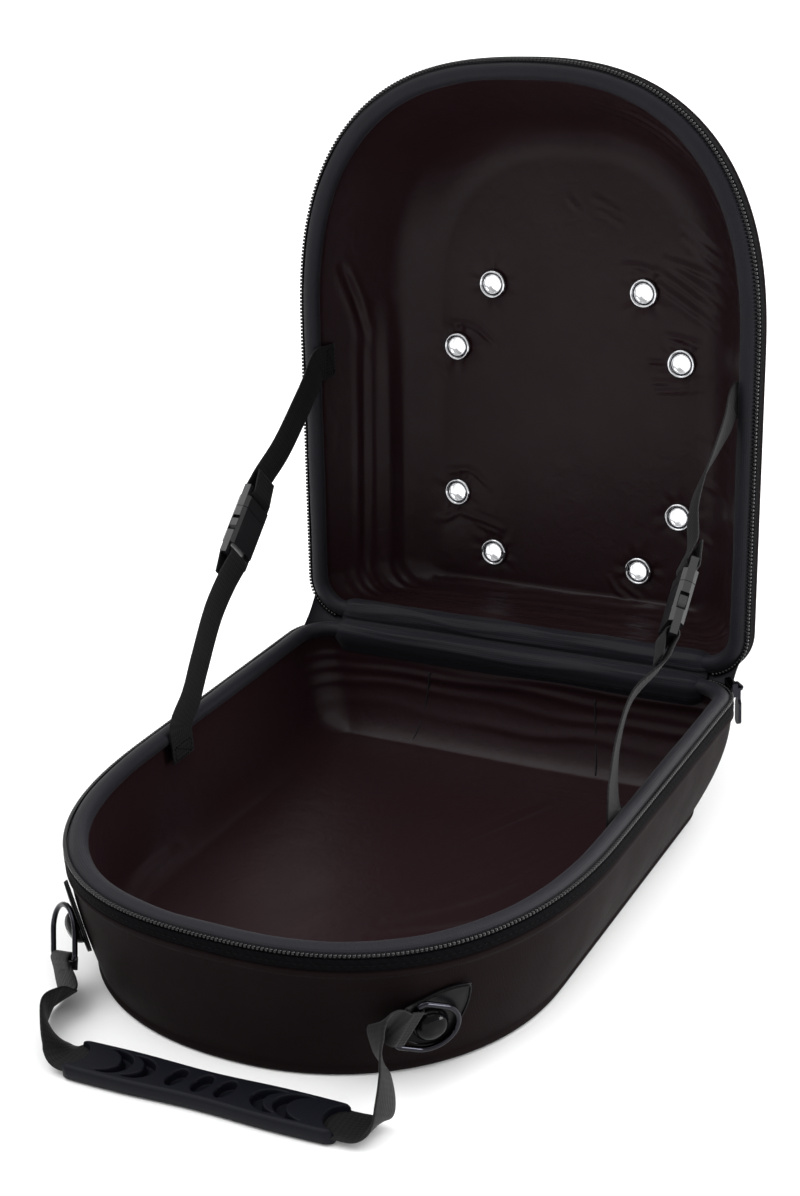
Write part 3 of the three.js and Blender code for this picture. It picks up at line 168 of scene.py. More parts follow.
class Half:
    """One half of the case: its outline at any depth, and where its own points stand in the frame.
    Its own axes are x across, y from the hinge to the round end and z the depth away from the opening."""

    def __init__(self, sizes, is_lid):
        self.form = LID_FORM if is_lid else TRAY_FORM
        self.depth = sizes.lid_depth if is_lid else sizes.tray_depth
        self.width = sizes.rim_width
        self.length = sizes.rim_length
        self.is_lid = is_lid
        self.lean = sizes.lid_lean
        self.hinge = np.array([
            0, (sizes.rim_length - TRAY_FORM["front"] + TRAY_FORM["back"]) / 2, sizes.tray_depth])

    def plan(self, depth, inset, foot=0.0):
        """Half width, hinge side, front, arch and corner of the outline at a depth"""
        form = self.form
        s = (max(0.0, depth - COLLAR_HEIGHT) / (self.depth - COLLAR_HEIGHT)) ** form["curve"]
        whole = inset + foot
        return {
            "half": self.width / 2 - s * form["side"] - whole,
            "back": s * form["back"] + inset + foot * HINGE_SIDE_ROUND,
            "front": self.length - s * form["front"] - whole,
            "arch": RIM_ARCH_LENGTH + s * (form["arch"] - RIM_ARCH_LENGTH) - whole,
            "power": RIM_ARCH_POWER + s * (form["power"] - RIM_ARCH_POWER),
            "corner": max(HINGE_CORNER + s * (form["corner"] - HINGE_CORNER) - whole, 2 * MM),
        }

    def ring(self, depth, inset, foot=0.0, steps=FINE, open_hinge=False):
        """The outline as rows of x, y, z, from the middle of the hinge side, along +x and round the front"""
        p = self.plan(depth, inset, foot)
        inner = p["half"] - p["corner"]
        share = {k: np.arange(n) / n for k, n in steps.items()}
        turn = share["corner"] * math.pi / 2
        angle = share["arch"] * math.pi
        c, s = np.cos(angle), np.sin(angle)
        reach = (np.abs(c) ** p["power"] + np.abs(s) ** p["power"]) ** (-1 / p["power"])
        shoulder = p["front"] - p["arch"]
        foot_y = p["back"] + p["corner"]
        side = foot_y + share["side"] * (shoulder - foot_y)
        parts = [
            (inner * share["back"], np.full_like(share["back"], p["back"])),
            (inner + p["corner"] * np.sin(turn), p["back"] + p["corner"] * (1 - np.cos(turn))),
            (np.full_like(side, p["half"]), side),
            (p["half"] * c * reach, shoulder + p["arch"] * s * reach),
            (np.full_like(side, -p["half"]), shoulder + foot_y - side),
            (-inner - p["corner"] * np.cos(turn), p["back"] + p["corner"] * (1 - np.sin(turn))),
            (-inner * (1 - share["back"]), np.full_like(share["back"], p["back"])),
        ]
        if open_hinge:
            parts = parts[1:6] + [(np.array([-inner]), np.array([p["back"]]))]
        x = np.concatenate([a for a, _ in parts])
        y = np.concatenate([b for _, b in parts])
        return np.column_stack([x, y, np.full_like(x, depth)])

    def place(self, points):
        """Own points to the frame: the tray upside down, the lid leaning back"""
        p = np.asarray(points, float)
        x, y, z = p[..., 0], p[..., 1], p[..., 2]
        if self.is_lid:
            s, c = math.sin(self.lean), math.cos(self.lean)
            moved = np.stack([x, y * s + z * c, y * c - z * s], axis=-1)
        else:
            moved = np.stack([x, -y, -z], axis=-1)
        return moved + self.hinge

    def panel_rings(self, edge, count):
        """Rings that close a flat panel from its edge to the middle line"""
        low = edge[:, 1].min() + edge[:, 0].max()
        high = max(low + 0.01, edge[np.argmax(edge[:, 0]), 1])
        low = min(low, high - 0.01)
        target = np.column_stack([np.zeros(len(edge)), np.clip(edge[:, 1], low, high), edge[:, 2]])
        shares = np.linspace(0, 1, count + 1)[1:]
        return [edge + (target - edge) * share for share in shares]


def quarter_rows(floor, inset, radius, steps):
    """Rows of depth, inset and further inset round the foot of a wall, from wall to floor"""
    rows = []
    for i in range(steps + 1):
        turn = i / steps * math.pi / 2
        rows.append((floor - radius * (1 - math.sin(turn)), inset, radius * (1 - math.cos(turn))))
    return rows


def rows_between(top, bottom, inset, count):
    """Rows of depth and inset down a wall, without the last one"""
    return [(depth, inset, 0.0) for depth in np.linspace(top, bottom, count, endpoint=False)]


# Meshes

def finish_piece(obj, material, node_names=()):
    """Gives a piece its material, hides the parts of the frame it stands for and lets it ride on the case"""
    obj.data.materials.clear()
    obj.data.materials.append(material)
    if node_names:
        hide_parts(*node_names)
    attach(obj, "case")


def finish_node(name, material, edge, width, segments, sharp_from):
    """Gives a solid of the frame its material and rounds its sharp edges"""
    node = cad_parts[name]
    node.data.materials.clear()
    node.data.materials.append(material)
    bevel = node.modifiers.new(edge, "BEVEL")
    bevel.width = width
    bevel.segments = segments
    bevel.limit_method = "ANGLE"
    bevel.angle_limit = math.radians(sharp_from)


def link_mesh(name, points, faces, uv=None):
    """A mesh object from points and faces, welded, with its faces turned outwards"""
    mesh = bpy.data.meshes.new(name)
    mesh.from_pydata([tuple(p) for p in points], [], [tuple(int(i) for i in f) for f in faces])
    if uv is not None:
        layer = mesh.uv_layers.new(name="metres")
        index = np.empty(len(mesh.loops), np.int32)
        mesh.loops.foreach_get("vertex_index", index)
        layer.data.foreach_set("uv", np.asarray(uv, np.float32)[index].ravel())
    work = bmesh.new()
    work.from_mesh(mesh)
    bmesh.ops.remove_doubles(work, verts=work.verts, dist=1e-6)
    bmesh.ops.recalc_face_normals(work, faces=work.faces)
    work.to_mesh(mesh)
    work.free()
    mesh.polygons.foreach_set("use_smooth", [True] * len(mesh.polygons))
    obj = bpy.data.objects.new(name, mesh)
    bpy.context.scene.collection.objects.link(obj)
    return obj


def grid_faces(rows, columns, wrap_columns=True, wrap_rows=False):
    """Quads over a grid of rows and columns of points"""
    r = np.arange(rows if wrap_rows else rows - 1)
    c = np.arange(columns if wrap_columns else columns - 1)
    r, c = np.meshgrid(r, c, indexing="ij")
    r2, c2 = (r + 1) % rows, (c + 1) % columns
    corners = [r * columns + c, r * columns + c2, r2 * columns + c2, r2 * columns + c]
    return np.stack(corners, axis=-1).reshape(-1, 4)


def grid_normals(grid, wrap_rows=False):
    """Unit normals of a grid of points whose columns close on themselves"""
    along = np.roll(grid, -1, axis=1) - np.roll(grid, 1, axis=1)
    if wrap_rows:
        down = np.roll(grid, -1, axis=0) - np.roll(grid, 1, axis=0)
    else:
        down = np.gradient(grid, axis=0)
    normal = np.cross(along, down)
    return normal / (np.linalg.norm(normal, axis=-1, keepdims=True) + 1e-12)


def grid_uv(grid):
    """Metres along and metres across each point of a grid"""
    along = np.linalg.norm(np.diff(grid, axis=1, append=grid[:, -1:]), axis=-1).mean(0)
    down = np.linalg.norm(np.diff(grid, axis=0, append=grid[-1:]), axis=-1).mean(1)
    u = np.concatenate([[0], np.cumsum(along)[:-1]])
    v = np.concatenate([[0], np.cumsum(down)[:-1]])
    return np.stack(np.meshgrid(u, v), axis=-1).reshape(-1, 2)


def cut_round_holes(obj, half, centres, radius):
    """Opens round holes through a panel and draws the cut edge onto its circle"""
    work = bmesh.new()
    work.from_mesh(obj.data)
    axis = Vector(half.place([0, 0, 1]) - half.place([0, 0, 0])).normalized()
    reach, near = 16 * MM, 5 * MM
    for x, y in centres:
        middle = Vector(half.place([x, y, half.depth]))

        def offset(vert):
            away = vert.co - middle
            return away - axis * away.dot(axis), abs(away.dot(axis))

        inside = [v for v in work.verts if offset(v)[1] < reach and offset(v)[0].length < radius]
        bmesh.ops.delete(work, geom=inside, context="VERTS")
        edge = {v for e in work.edges if e.is_boundary for v in e.verts}
        for v in edge:
            flat, depth = offset(v)
            if depth < reach and flat.length < radius + near:
                v.co += flat.normalized() * radius - flat
    work.to_mesh(obj.data)
    work.free()


def spline(points, count):
    """A smooth run of count points through control points, slower where they stand close together"""
    p = np.asarray(points, float)
    t = np.concatenate([[0], np.cumsum(np.linalg.norm(np.diff(p[:, :3], axis=0), axis=1) ** 0.5)])
    slopes = np.gradient(p, t, axis=0)
    at = np.linspace(0, t[-1], count)
    i = np.clip(np.searchsorted(t, at, side="right") - 1, 0, len(t) - 2)
    h = (t[i + 1] - t[i])[:, None]
    s = ((at - t[i]) / (t[i + 1] - t[i]))[:, None]
    return ((2 * s**3 - 3 * s**2 + 1) * p[i] + (s**3 - 2 * s**2 + s) * h * slopes[i]
            + (-2 * s**3 + 3 * s**2) * p[i + 1] + (s**3 - s**2) * h * slopes[i + 1])


def unit(v):
    """Vectors of length one"""
    return v / (np.linalg.norm(v, axis=-1, keepdims=True) + 1e-12)


def ribbon_mesh(name, points, across, width, thickness):
    """A strap of woven webbing through a row of points, flat along the across directions"""
    points = np.asarray(points, float)
    tangent = unit(np.gradient(points, axis=0))
    side = unit(across - tangent * (across * tangent).sum(1, keepdims=True))
    normal = np.cross(tangent, side)
    profile = []
    edge = thickness / 2
    for sign, start in ((1, -90), (-1, 90)):
        for i in range(5):
            a = math.radians(start + i * 45)
            profile.append((sign * (width / 2 - edge) + edge * math.cos(a), edge * math.sin(a)))
        for share in ((0.55, 0.1) if sign > 0 else (-0.55, -0.1)):
            profile.append((share * (width / 2), sign * edge))
    profile = np.array(profile)
    grid = (points[:, None] + side[:, None] * profile[None, :, :1] + normal[:, None] * profile[None, :, 1:])
    rows, columns = grid.shape[:2]
    faces = [list(f) for f in grid_faces(rows, columns)]
    faces.append(list(range(columns)))
    faces.append([(rows - 1) * columns + i for i in range(columns)][::-1])
    walked = np.concatenate([[0], np.cumsum(np.linalg.norm(np.diff(points, axis=0), axis=1))])
    uv = np.stack(np.meshgrid(profile[:, 0], walked), axis=-1).reshape(-1, 2)
    return link_mesh(name, grid.reshape(-1, 3), faces, uv=uv)


def tube_mesh(name, points, radius, sides, closed=False):
    """A round wire through a row of points, with flat ends or closed on itself"""
    p = np.asarray(points, float)
    if closed:
        tangent = unit(np.roll(p, -1, axis=0) - np.roll(p, 1, axis=0))
    else:
        tangent = unit(np.gradient(p, axis=0))
    lift = np.zeros_like(p)
    guide = Vector((0, 0, 1)) if abs(tangent[0][2]) < 0.9 else Vector((1, 0, 0))
    for i, t in enumerate(tangent):
        t = Vector(t)
        guide = (guide - t * guide.dot(t)).normalized()
        lift[i] = guide
    side = np.cross(tangent, lift)
    turn = np.arange(sides) / sides * 2 * math.pi
    spokes = lift[:, None] * np.cos(turn)[None, :, None] + side[:, None] * np.sin(turn)[None, :, None]
    grid = p[:, None] + radius * spokes
    faces = [list(f) for f in grid_faces(len(p), sides, wrap_rows=closed)]
    if not closed:
        faces.append(list(range(sides)))
        faces.append([(len(p) - 1) * sides + i for i in range(sides)])
    return link_mesh(name, grid.reshape(-1, 3), faces)


def scatter_shapes(name, shape, faces, places, along, up):
    """One mesh of many small copies of a shape, each turned to its own along and up directions"""
    along = unit(np.asarray(along, float))
    up = unit(up - along * (up * along).sum(1, keepdims=True))
    side = np.cross(up, along)
    shape = np.asarray(shape, float)
    points = (np.asarray(places)[:, None] + shape[None, :, :1] * along[:, None]
              + shape[None, :, 1:2] * side[:, None] + shape[None, :, 2:] * up[:, None])
    count = len(shape)
    every = [tuple(i + k * count for i in face) for k in range(len(points)) for face in faces]
    return link_mesh(name, points.reshape(-1, 3), every)


def walk(points, pitch):
    """Even places and directions along a row of points"""
    p = np.asarray(points, float)
    walked = np.concatenate([[0], np.cumsum(np.linalg.norm(np.diff(p, axis=0), axis=1))])
    count = max(2, int(walked[-1] / pitch))
    at = (np.arange(count) + 0.5) * walked[-1] / count
    places = np.column_stack([np.interp(at, walked, p[:, k]) for k in range(3)])
    ahead = np.column_stack([np.interp(at + pitch * 0.25, walked, p[:, k]) for k in range(3)])
    behind = np.column_stack([np.interp(at - pitch * 0.25, walked, p[:, k]) for k in range(3)])
    return places, unit(ahead - behind)


# One stitch, as shares of its length, width and height
THREAD_SHAPE = [(-0.5, 0, -0.2), (-0.3, 0.5, 0.2), (-0.3, 0, 0.5), (-0.3, -0.5, 0.2),
                (0.3, 0.5, 0.2), (0.3, 0, 0.5), (0.3, -0.5, 0.2), (0.5, 0, -0.2)]
THREAD_FACES = [(0, 2, 1), (0, 3, 2), (1, 2, 5, 4), (2, 3, 6, 5), (4, 5, 7), (5, 6, 7)]


def stitch_row(name, points, up, sizes):
    """A row of single stitches lying on a surface"""
    places, along = walk(points, sizes.stitch_pitch)
    ups = up[np.linspace(0, len(up) - 1, len(places)).astype(int)]
    shape = np.array(THREAD_SHAPE) * [sizes.stitch_pitch * 0.78, sizes.thread_width, sizes.thread_width]
    return scatter_shapes(name, shape, THREAD_FACES, places, along, ups)


def ripple(points, waves):
    """An even, repeatable unevenness: a sum of slow sine waves over space"""
    total = np.zeros(points.shape[:-1])
    for (fx, fy, fz), phase, size in waves:
        total += size * np.sin(points[..., 0] * fx + points[..., 1] * fy + points[..., 2] * fz + phase)
    return total


def eased(share):
    """A share from nothing to one that starts and ends slowly"""
    return share * share * (3 - 2 * share)


def window(value, low, high, soft):
    """One between low and high, falling softly to nothing outside"""
    return eased(np.clip((value - low) / soft, 0, 1)) * eased(np.clip((high - value) / soft, 0, 1))


# Materials

def new_material(name):
    """An empty material with its node tree and shader"""
    material = bpy.data.materials.new(name)
    material.use_nodes = True
    tree = material.node_tree
    shader = tree.nodes["Principled BSDF"]
    return material, tree, shader


def add_node(tree, kind, settings=None, inputs=None):
    """Adds one node, with its settings, and its inputs set or linked"""
    node = tree.nodes.new(kind)
    for key, value in (settings or {}).items():
        setattr(node, key, value)
    for key, value in (inputs or {}).items():
        if isinstance(value, bpy.types.NodeSocket):
            tree.links.new(value, node.inputs[key])
        else:
            node.inputs[key].default_value = value
    return node


def shade(tree, colour, darker, factor):
    """The colour varied between itself and a darker shade by a factor socket"""
    base = (*colour, 1)
    low = (*(c * darker for c in colour), 1)
    return add_node(tree, "ShaderNodeMix", {"data_type": "RGBA"},
                    {"Factor": factor, 6: base, 7: low}).outputs[2]


def knitted_polyester_on_foam(colour):
    """Polyester knit laminated on compression-moulded EVA foam: matt, with a fine knit and a slight bloom"""
    material, tree, shader = new_material("knitted_polyester_on_foam")
    place = add_node(tree, "ShaderNodeTexCoord").outputs["Object"]
    # Knit courses about 0.9 mm apart, drawn a little coarser than real so that they show
    knit = add_node(tree, "ShaderNodeTexVoronoi", {"feature": "F1"},
                    {"Vector": place, "Scale": 1100, "Randomness": 0.55})
    cloud = add_node(tree, "ShaderNodeTexNoise", None,
                     {"Vector": place, "Scale": 38, "Detail": 4, "Roughness": 0.6})
    tree.links.new(shade(tree, colour, 0.72, cloud.outputs["Fac"]), shader.inputs["Base Color"])
    rough = add_node(tree, "ShaderNodeMapRange", None,
                     {"Value": cloud.outputs["Fac"], "From Min": 0.3, "From Max": 0.7,
                      "To Min": 0.62, "To Max": 0.74})
    tree.links.new(rough.outputs["Result"], shader.inputs["Roughness"])
    bump = add_node(tree, "ShaderNodeBump", None,
                    {"Height": knit.outputs["Distance"], "Strength": 0.35, "Distance": 0.0003})
    tree.links.new(bump.outputs["Normal"], shader.inputs["Normal"])
    shader.inputs["Specular IOR Level"].default_value = 0.04
    shader.inputs["Sheen Weight"].default_value = 0.01
    shader.inputs["Sheen Roughness"].default_value = 0.5
    return material


def satin_woven_polyester(colour):
    """Satin-weave polyester bonded to foam: long soft highlights along the folds and faint thread streaks"""
    material, tree, shader = new_material("satin_woven_polyester")
    place = add_node(tree, "ShaderNodeTexCoord").outputs["Object"]
    stretched = add_node(tree, "ShaderNodeMapping", None, {"Vector": place, "Scale": (3200, 3200, 260)})
    # Warp threads about 0.3 mm apart, and the crumple of the bonded cloth about 10 mm across
    thread = add_node(tree, "ShaderNodeTexNoise", None,
                      {"Vector": stretched.outputs["Vector"], "Scale": 1, "Detail": 1})
    cloud = add_node(tree, "ShaderNodeTexNoise", None,
                     {"Vector": place, "Scale": 22, "Detail": 5, "Roughness": 0.62})
    crumple = add_node(tree, "ShaderNodeTexNoise", None,
                       {"Vector": place, "Scale": 95, "Detail": 3, "Roughness": 0.5, "Distortion": 0.6})
    tree.links.new(shade(tree, colour, 0.62, cloud.outputs["Fac"]), shader.inputs["Base Color"])
    rough = add_node(tree, "ShaderNodeMapRange", None,
                     {"Value": cloud.outputs["Fac"], "From Min": 0.3, "From Max": 0.7,
                      "To Min": 0.28, "To Max": 0.38})
    tree.links.new(rough.outputs["Result"], shader.inputs["Roughness"])
    fine = add_node(tree, "ShaderNodeBump", None,
                    {"Height": thread.outputs["Fac"], "Strength": 0.25, "Distance": 0.00015})
    broad = add_node(tree, "ShaderNodeBump", None,
                     {"Height": crumple.outputs["Fac"], "Strength": 0.5, "Distance": 0.0006,
                      "Normal": fine.outputs["Normal"]})
    tree.links.new(broad.outputs["Normal"], shader.inputs["Normal"])
    shader.inputs["Specular IOR Level"].default_value = 0.11
    shader.inputs["Sheen Weight"].default_value = 0.01
    shader.inputs["Sheen Roughness"].default_value = 0.4
    return material


def plain_weave_over_padding(colour):
    """Plain-weave polyester over a soft core: matt, with a square weave and slight puckers"""
    material, tree, shader = new_material("plain_weave_over_padding")
    place = add_node(tree, "ShaderNodeTexCoord").outputs["UV"]
    space = add_node(tree, "ShaderNodeTexCoord").outputs["Object"]
    # Threads 1.2 mm apart, about four times the real spacing so that the weave shows
    warp = add_node(tree, "ShaderNodeTexWave", {"wave_type": "BANDS", "bands_direction": "X"},
                    {"Vector": place, "Scale": 830 / math.pi, "Distortion": 0.4})
    weft = add_node(tree, "ShaderNodeTexWave", {"wave_type": "BANDS", "bands_direction": "Y"},
                    {"Vector": place, "Scale": 830 / math.pi, "Distortion": 0.4})
    weave = add_node(tree, "ShaderNodeMath", {"operation": "MULTIPLY"},
                     {0: warp.outputs["Fac"], 1: weft.outputs["Fac"]})
    cloud = add_node(tree, "ShaderNodeTexNoise", None, {"Vector": space, "Scale": 60, "Detail": 4})
    tree.links.new(shade(tree, colour, 0.68, cloud.outputs["Fac"]), shader.inputs["Base Color"])
    pucker = add_node(tree, "ShaderNodeBump", None,
                      {"Height": cloud.outputs["Fac"], "Strength": 0.5, "Distance": 0.0008})
    fine = add_node(tree, "ShaderNodeBump", None,
                    {"Height": weave.outputs["Value"], "Strength": 0.4, "Distance": 0.0002,
                     "Normal": pucker.outputs["Normal"]})
    tree.links.new(fine.outputs["Normal"], shader.inputs["Normal"])
    shader.inputs["Roughness"].default_value = 0.58
    shader.inputs["Specular IOR Level"].default_value = 0.16
    shader.inputs["Sheen Weight"].default_value = 0.05
    shader.inputs["Sheen Roughness"].default_value = 0.45
    return material


def woven_webbing(colour):
    """Ribbed polyester webbing: a herringbone of ribs across the strap and a slightly shiny yarn"""
    material, tree, shader = new_material("woven_webbing")
    place = add_node(tree, "ShaderNodeTexCoord").outputs["UV"]
    # Ribs 2.6 mm apart across the strap and yarns 1.8 mm apart along it, about twice the real spacing
    ribs = add_node(tree, "ShaderNodeTexWave", {"wave_type": "BANDS", "bands_direction": "Y"},
                    {"Vector": place, "Scale": 385 / math.pi, "Distortion": 0.8, "Detail": 1})
    yarns = add_node(tree, "ShaderNodeTexWave", {"wave_type": "BANDS", "bands_direction": "X"},
                     {"Vector": place, "Scale": 555 / math.pi, "Distortion": 0.5, "Detail": 1})
    height = add_node(tree, "ShaderNodeMath", {"operation": "ADD"},
                      {0: ribs.outputs["Fac"], 1: yarns.outputs["Fac"]})
    tree.links.new(shade(tree, colour, 0.6, ribs.outputs["Fac"]), shader.inputs["Base Color"])
    bump = add_node(tree, "ShaderNodeBump", None,
                    {"Height": height.outputs["Value"], "Strength": 0.35, "Distance": 0.0002})
    tree.links.new(bump.outputs["Normal"], shader.inputs["Normal"])
    shader.inputs["Roughness"].default_value = 0.6
    shader.inputs["Specular IOR Level"].default_value = 0.14
    shader.inputs["Sheen Weight"].default_value = 0.05
    shader.inputs["Sheen Roughness"].default_value = 0.4
    return material


def herringbone_zip_tape(colour):
    """Herringbone polyester tape: matt, with slanting twill lines"""
    material, tree, shader = new_material("herringbone_zip_tape")
    place = add_node(tree, "ShaderNodeTexCoord").outputs["UV"]
    # Twill lines 3.4 mm apart, coarser than real so that they show
    twill = add_node(tree, "ShaderNodeTexWave", {"wave_type": "BANDS", "bands_direction": "DIAGONAL"},
                     {"Vector": place, "Scale": 415 / math.pi, "Distortion": 0.4})
    tree.links.new(shade(tree, colour, 0.7, twill.outputs["Fac"]), shader.inputs["Base Color"])
    bump = add_node(tree, "ShaderNodeBump", None,
                    {"Height": twill.outputs["Fac"], "Strength": 0.3, "Distance": 0.0002})
    tree.links.new(bump.outputs["Normal"], shader.inputs["Normal"])
    shader.inputs["Roughness"].default_value = 0.7
    shader.inputs["Specular IOR Level"].default_value = 0.02
    return material


def twisted_thread(colour):
    """Bonded sewing thread: a soft shine and no grain"""
    material, tree, shader = new_material("twisted_thread")
    place = add_node(tree, "ShaderNodeTexCoord").outputs["Object"]
    cloud = add_node(tree, "ShaderNodeTexNoise", None, {"Vector": place, "Scale": 900})
    tree.links.new(shade(tree, colour, 0.7, cloud.outputs["Fac"]), shader.inputs["Base Color"])
    shader.inputs["Roughness"].default_value = 0.6
    shader.inputs["Specular IOR Level"].default_value = 0.05
    return material


def moulded_acetal(colour):
    """Injection-moulded acetal: a fine spark-eroded grain with satin edges"""
    material, tree, shader = new_material("moulded_acetal")
    place = add_node(tree, "ShaderNodeTexCoord").outputs["Object"]
    # Grain about 0.7 mm across, coarser than real so that it shows
    grain = add_node(tree, "ShaderNodeTexNoise", None, {"Vector": place, "Scale": 1500, "Detail": 2})
    cloud = add_node(tree, "ShaderNodeTexNoise", None, {"Vector": place, "Scale": 120, "Detail": 3})
    tree.links.new(shade(tree, colour, 0.8, cloud.outputs["Fac"]), shader.inputs["Base Color"])
    rough = add_node(tree, "ShaderNodeMapRange", None,
                     {"Value": cloud.outputs["Fac"], "To Min": 0.30, "To Max": 0.42})
    tree.links.new(rough.outputs["Result"], shader.inputs["Roughness"])
    bump = add_node(tree, "ShaderNodeBump", None,
                    {"Height": grain.outputs["Fac"], "Strength": 0.2, "Distance": 0.0001})
    tree.links.new(bump.outputs["Normal"], shader.inputs["Normal"])
    shader.inputs["IOR"].default_value = 1.48
    return material


def moulded_zip_teeth(colour):
    """Moulded polyester zip teeth: smooth, so each tooth catches a small bright line"""
    material, tree, shader = new_material("moulded_zip_teeth")
    place = add_node(tree, "ShaderNodeTexCoord").outputs["Object"]
    cloud = add_node(tree, "ShaderNodeTexNoise", None, {"Vector": place, "Scale": 300})
    tree.links.new(shade(tree, colour, 0.6, cloud.outputs["Fac"]), shader.inputs["Base Color"])
    shader.inputs["Roughness"].default_value = 0.2
    shader.inputs["IOR"].default_value = 1.57
    shader.inputs["Specular IOR Level"].default_value = 0.3
    return material


# Also gives the thin dark ring of painted shade in each eyelet's groove
def polished_cap(colour):
    """Polished synthetic leather drawn tight over a cap: a clear highlight, broken by a few creases"""
    material, tree, shader = new_material("polished_cap")
    place = add_node(tree, "ShaderNodeTexCoord").outputs["Object"]
    # Creases about 6 mm apart
    crease = add_node(tree, "ShaderNodeTexNoise", None,
                      {"Vector": place, "Scale": 160, "Detail": 3, "Distortion": 1.2})
    tree.links.new(shade(tree, colour, 0.7, crease.outputs["Fac"]), shader.inputs["Base Color"])
    bump = add_node(tree, "ShaderNodeBump", None,
                    {"Height": crease.outputs["Fac"], "Strength": 0.3, "Distance": 0.0006})
    tree.links.new(bump.outputs["Normal"], shader.inputs["Normal"])
    shader.inputs["Roughness"].default_value = 0.14
    shader.inputs["Specular IOR Level"].default_value = 0.09
    return material


def moulded_rubber(colour):
    """Compression-moulded thermoplastic rubber: dull, very fine grain, paler where it is rubbed"""
    material, tree, shader = new_material("moulded_rubber")
    place = add_node(tree, "ShaderNodeTexCoord").outputs["Object"]
    # Grain about 0.6 mm across, coarser than real so that it shows, and rubbed patches about 20 mm across
    grain = add_node(tree, "ShaderNodeTexNoise", None, {"Vector": place, "Scale": 1800, "Detail": 2})
    cloud = add_node(tree, "ShaderNodeTexNoise", None, {"Vector": place, "Scale": 45, "Detail": 4})
    tree.links.new(shade(tree, colour, 0.78, cloud.outputs["Fac"]), shader.inputs["Base Color"])
    bump = add_node(tree, "ShaderNodeBump", None,
                    {"Height": grain.outputs["Fac"], "Strength": 0.25, "Distance": 0.0001})
    tree.links.new(bump.outputs["Normal"], shader.inputs["Normal"])
    shader.inputs["Roughness"].default_value = 0.5
    shader.inputs["IOR"].default_value = 1.52
    shader.inputs["Specular IOR Level"].default_value = 0.1
    return material


def coated_split_leather(colour):
    """Coated split leather: embossed grain about 0.9 mm across under a satin coat"""
    material, tree, shader = new_material("coated_split_leather")
    place = add_node(tree, "ShaderNodeTexCoord").outputs["Object"]
    grain = add_node(tree, "ShaderNodeTexVoronoi", {"feature": "DISTANCE_TO_EDGE"},
                     {"Vector": place, "Scale": 1100})
    cloud = add_node(tree, "ShaderNodeTexNoise", None, {"Vector": place, "Scale": 80, "Detail": 3})
    tree.links.new(shade(tree, colour, 0.7, cloud.outputs["Fac"]), shader.inputs["Base Color"])
    bump = add_node(tree, "ShaderNodeBump", None,
                    {"Height": grain.outputs["Distance"], "Strength": 0.3, "Distance": 0.0002})
    tree.links.new(bump.outputs["Normal"], shader.inputs["Normal"])
    shader.inputs["Roughness"].default_value = 0.42
    shader.inputs["Specular IOR Level"].default_value = 0.14
    return material


def black_nickel_plate(colour):
    """Black nickel on bent or die-cast metal: dark mirror with a faint handling haze"""
    material, tree, shader = new_material("black_nickel_plate")
    place = add_node(tree, "ShaderNodeTexCoord").outputs["Object"]
    haze = add_node(tree, "ShaderNodeTexNoise", None, {"Vector": place, "Scale": 140, "Detail": 4})
    tree.links.new(shade(tree, colour, 0.8, haze.outputs["Fac"]), shader.inputs["Base Color"])
    rough = add_node(tree, "ShaderNodeMapRange", None,
                     {"Value": haze.outputs["Fac"], "To Min": 0.08, "To Max": 0.2})
    tree.links.new(rough.outputs["Result"], shader.inputs["Roughness"])
    shader.inputs["Metallic"].default_value = 1
    return material


def bright_nickel_plate(colour):
    """Bright nickel on pressed brass: a clear mirror with faint turning lines"""
    material, tree, shader = new_material("bright_nickel_plate")
    place = add_node(tree, "ShaderNodeTexCoord").outputs["Object"]
    haze = add_node(tree, "ShaderNodeTexNoise", None, {"Vector": place, "Scale": 220, "Detail": 3})
    tree.links.new(shade(tree, colour, 0.9, haze.outputs["Fac"]), shader.inputs["Base Color"])
    rough = add_node(tree, "ShaderNodeMapRange", None,
                     {"Value": haze.outputs["Fac"], "To Min": 0.04, "To Max": 0.12})
    tree.links.new(rough.outputs["Result"], shader.inputs["Roughness"])
    shader.inputs["Metallic"].default_value = 1
    return material


# Each colour of the panel and what makes its material
MATERIAL_MAKERS = {
    "skin": knitted_polyester_on_foam,
    "lining": satin_woven_polyester,
    "roll": plain_weave_over_padding,
    "webbing": woven_webbing,
    "tape": herringbone_zip_tape,
    "thread": twisted_thread,
    "plastic": moulded_acetal,
    "teeth": moulded_zip_teeth,
    "cap": polished_cap,
    "rubber": moulded_rubber,
    "leather": coated_split_leather,
    "dark_metal": black_nickel_plate,
    "nickel": bright_nickel_plate,
}


def material_for(context, finish):
    """The material of a finish, made once"""
    maker = MATERIAL_MAKERS[finish]
    found = bpy.data.materials.get(maker.__name__)
    return found or maker(tuple(getattr(context.scene.case_colours, finish)))


# Shells

def shell_piece(half, name, rows, panel_rings, steps=MEDIUM):
    """The outer skin of one half, from its panel up to the rim and over its top edge"""
    floor = half.ring(*rows[0], steps=steps)
    rings = half.panel_rings(floor, panel_rings)[::-1] + [half.ring(*row, steps=steps) for row in rows]
    grid = half.place(np.array(rings))
    return link_mesh(name, grid.reshape(-1, 3), grid_faces(*grid.shape[:2]))


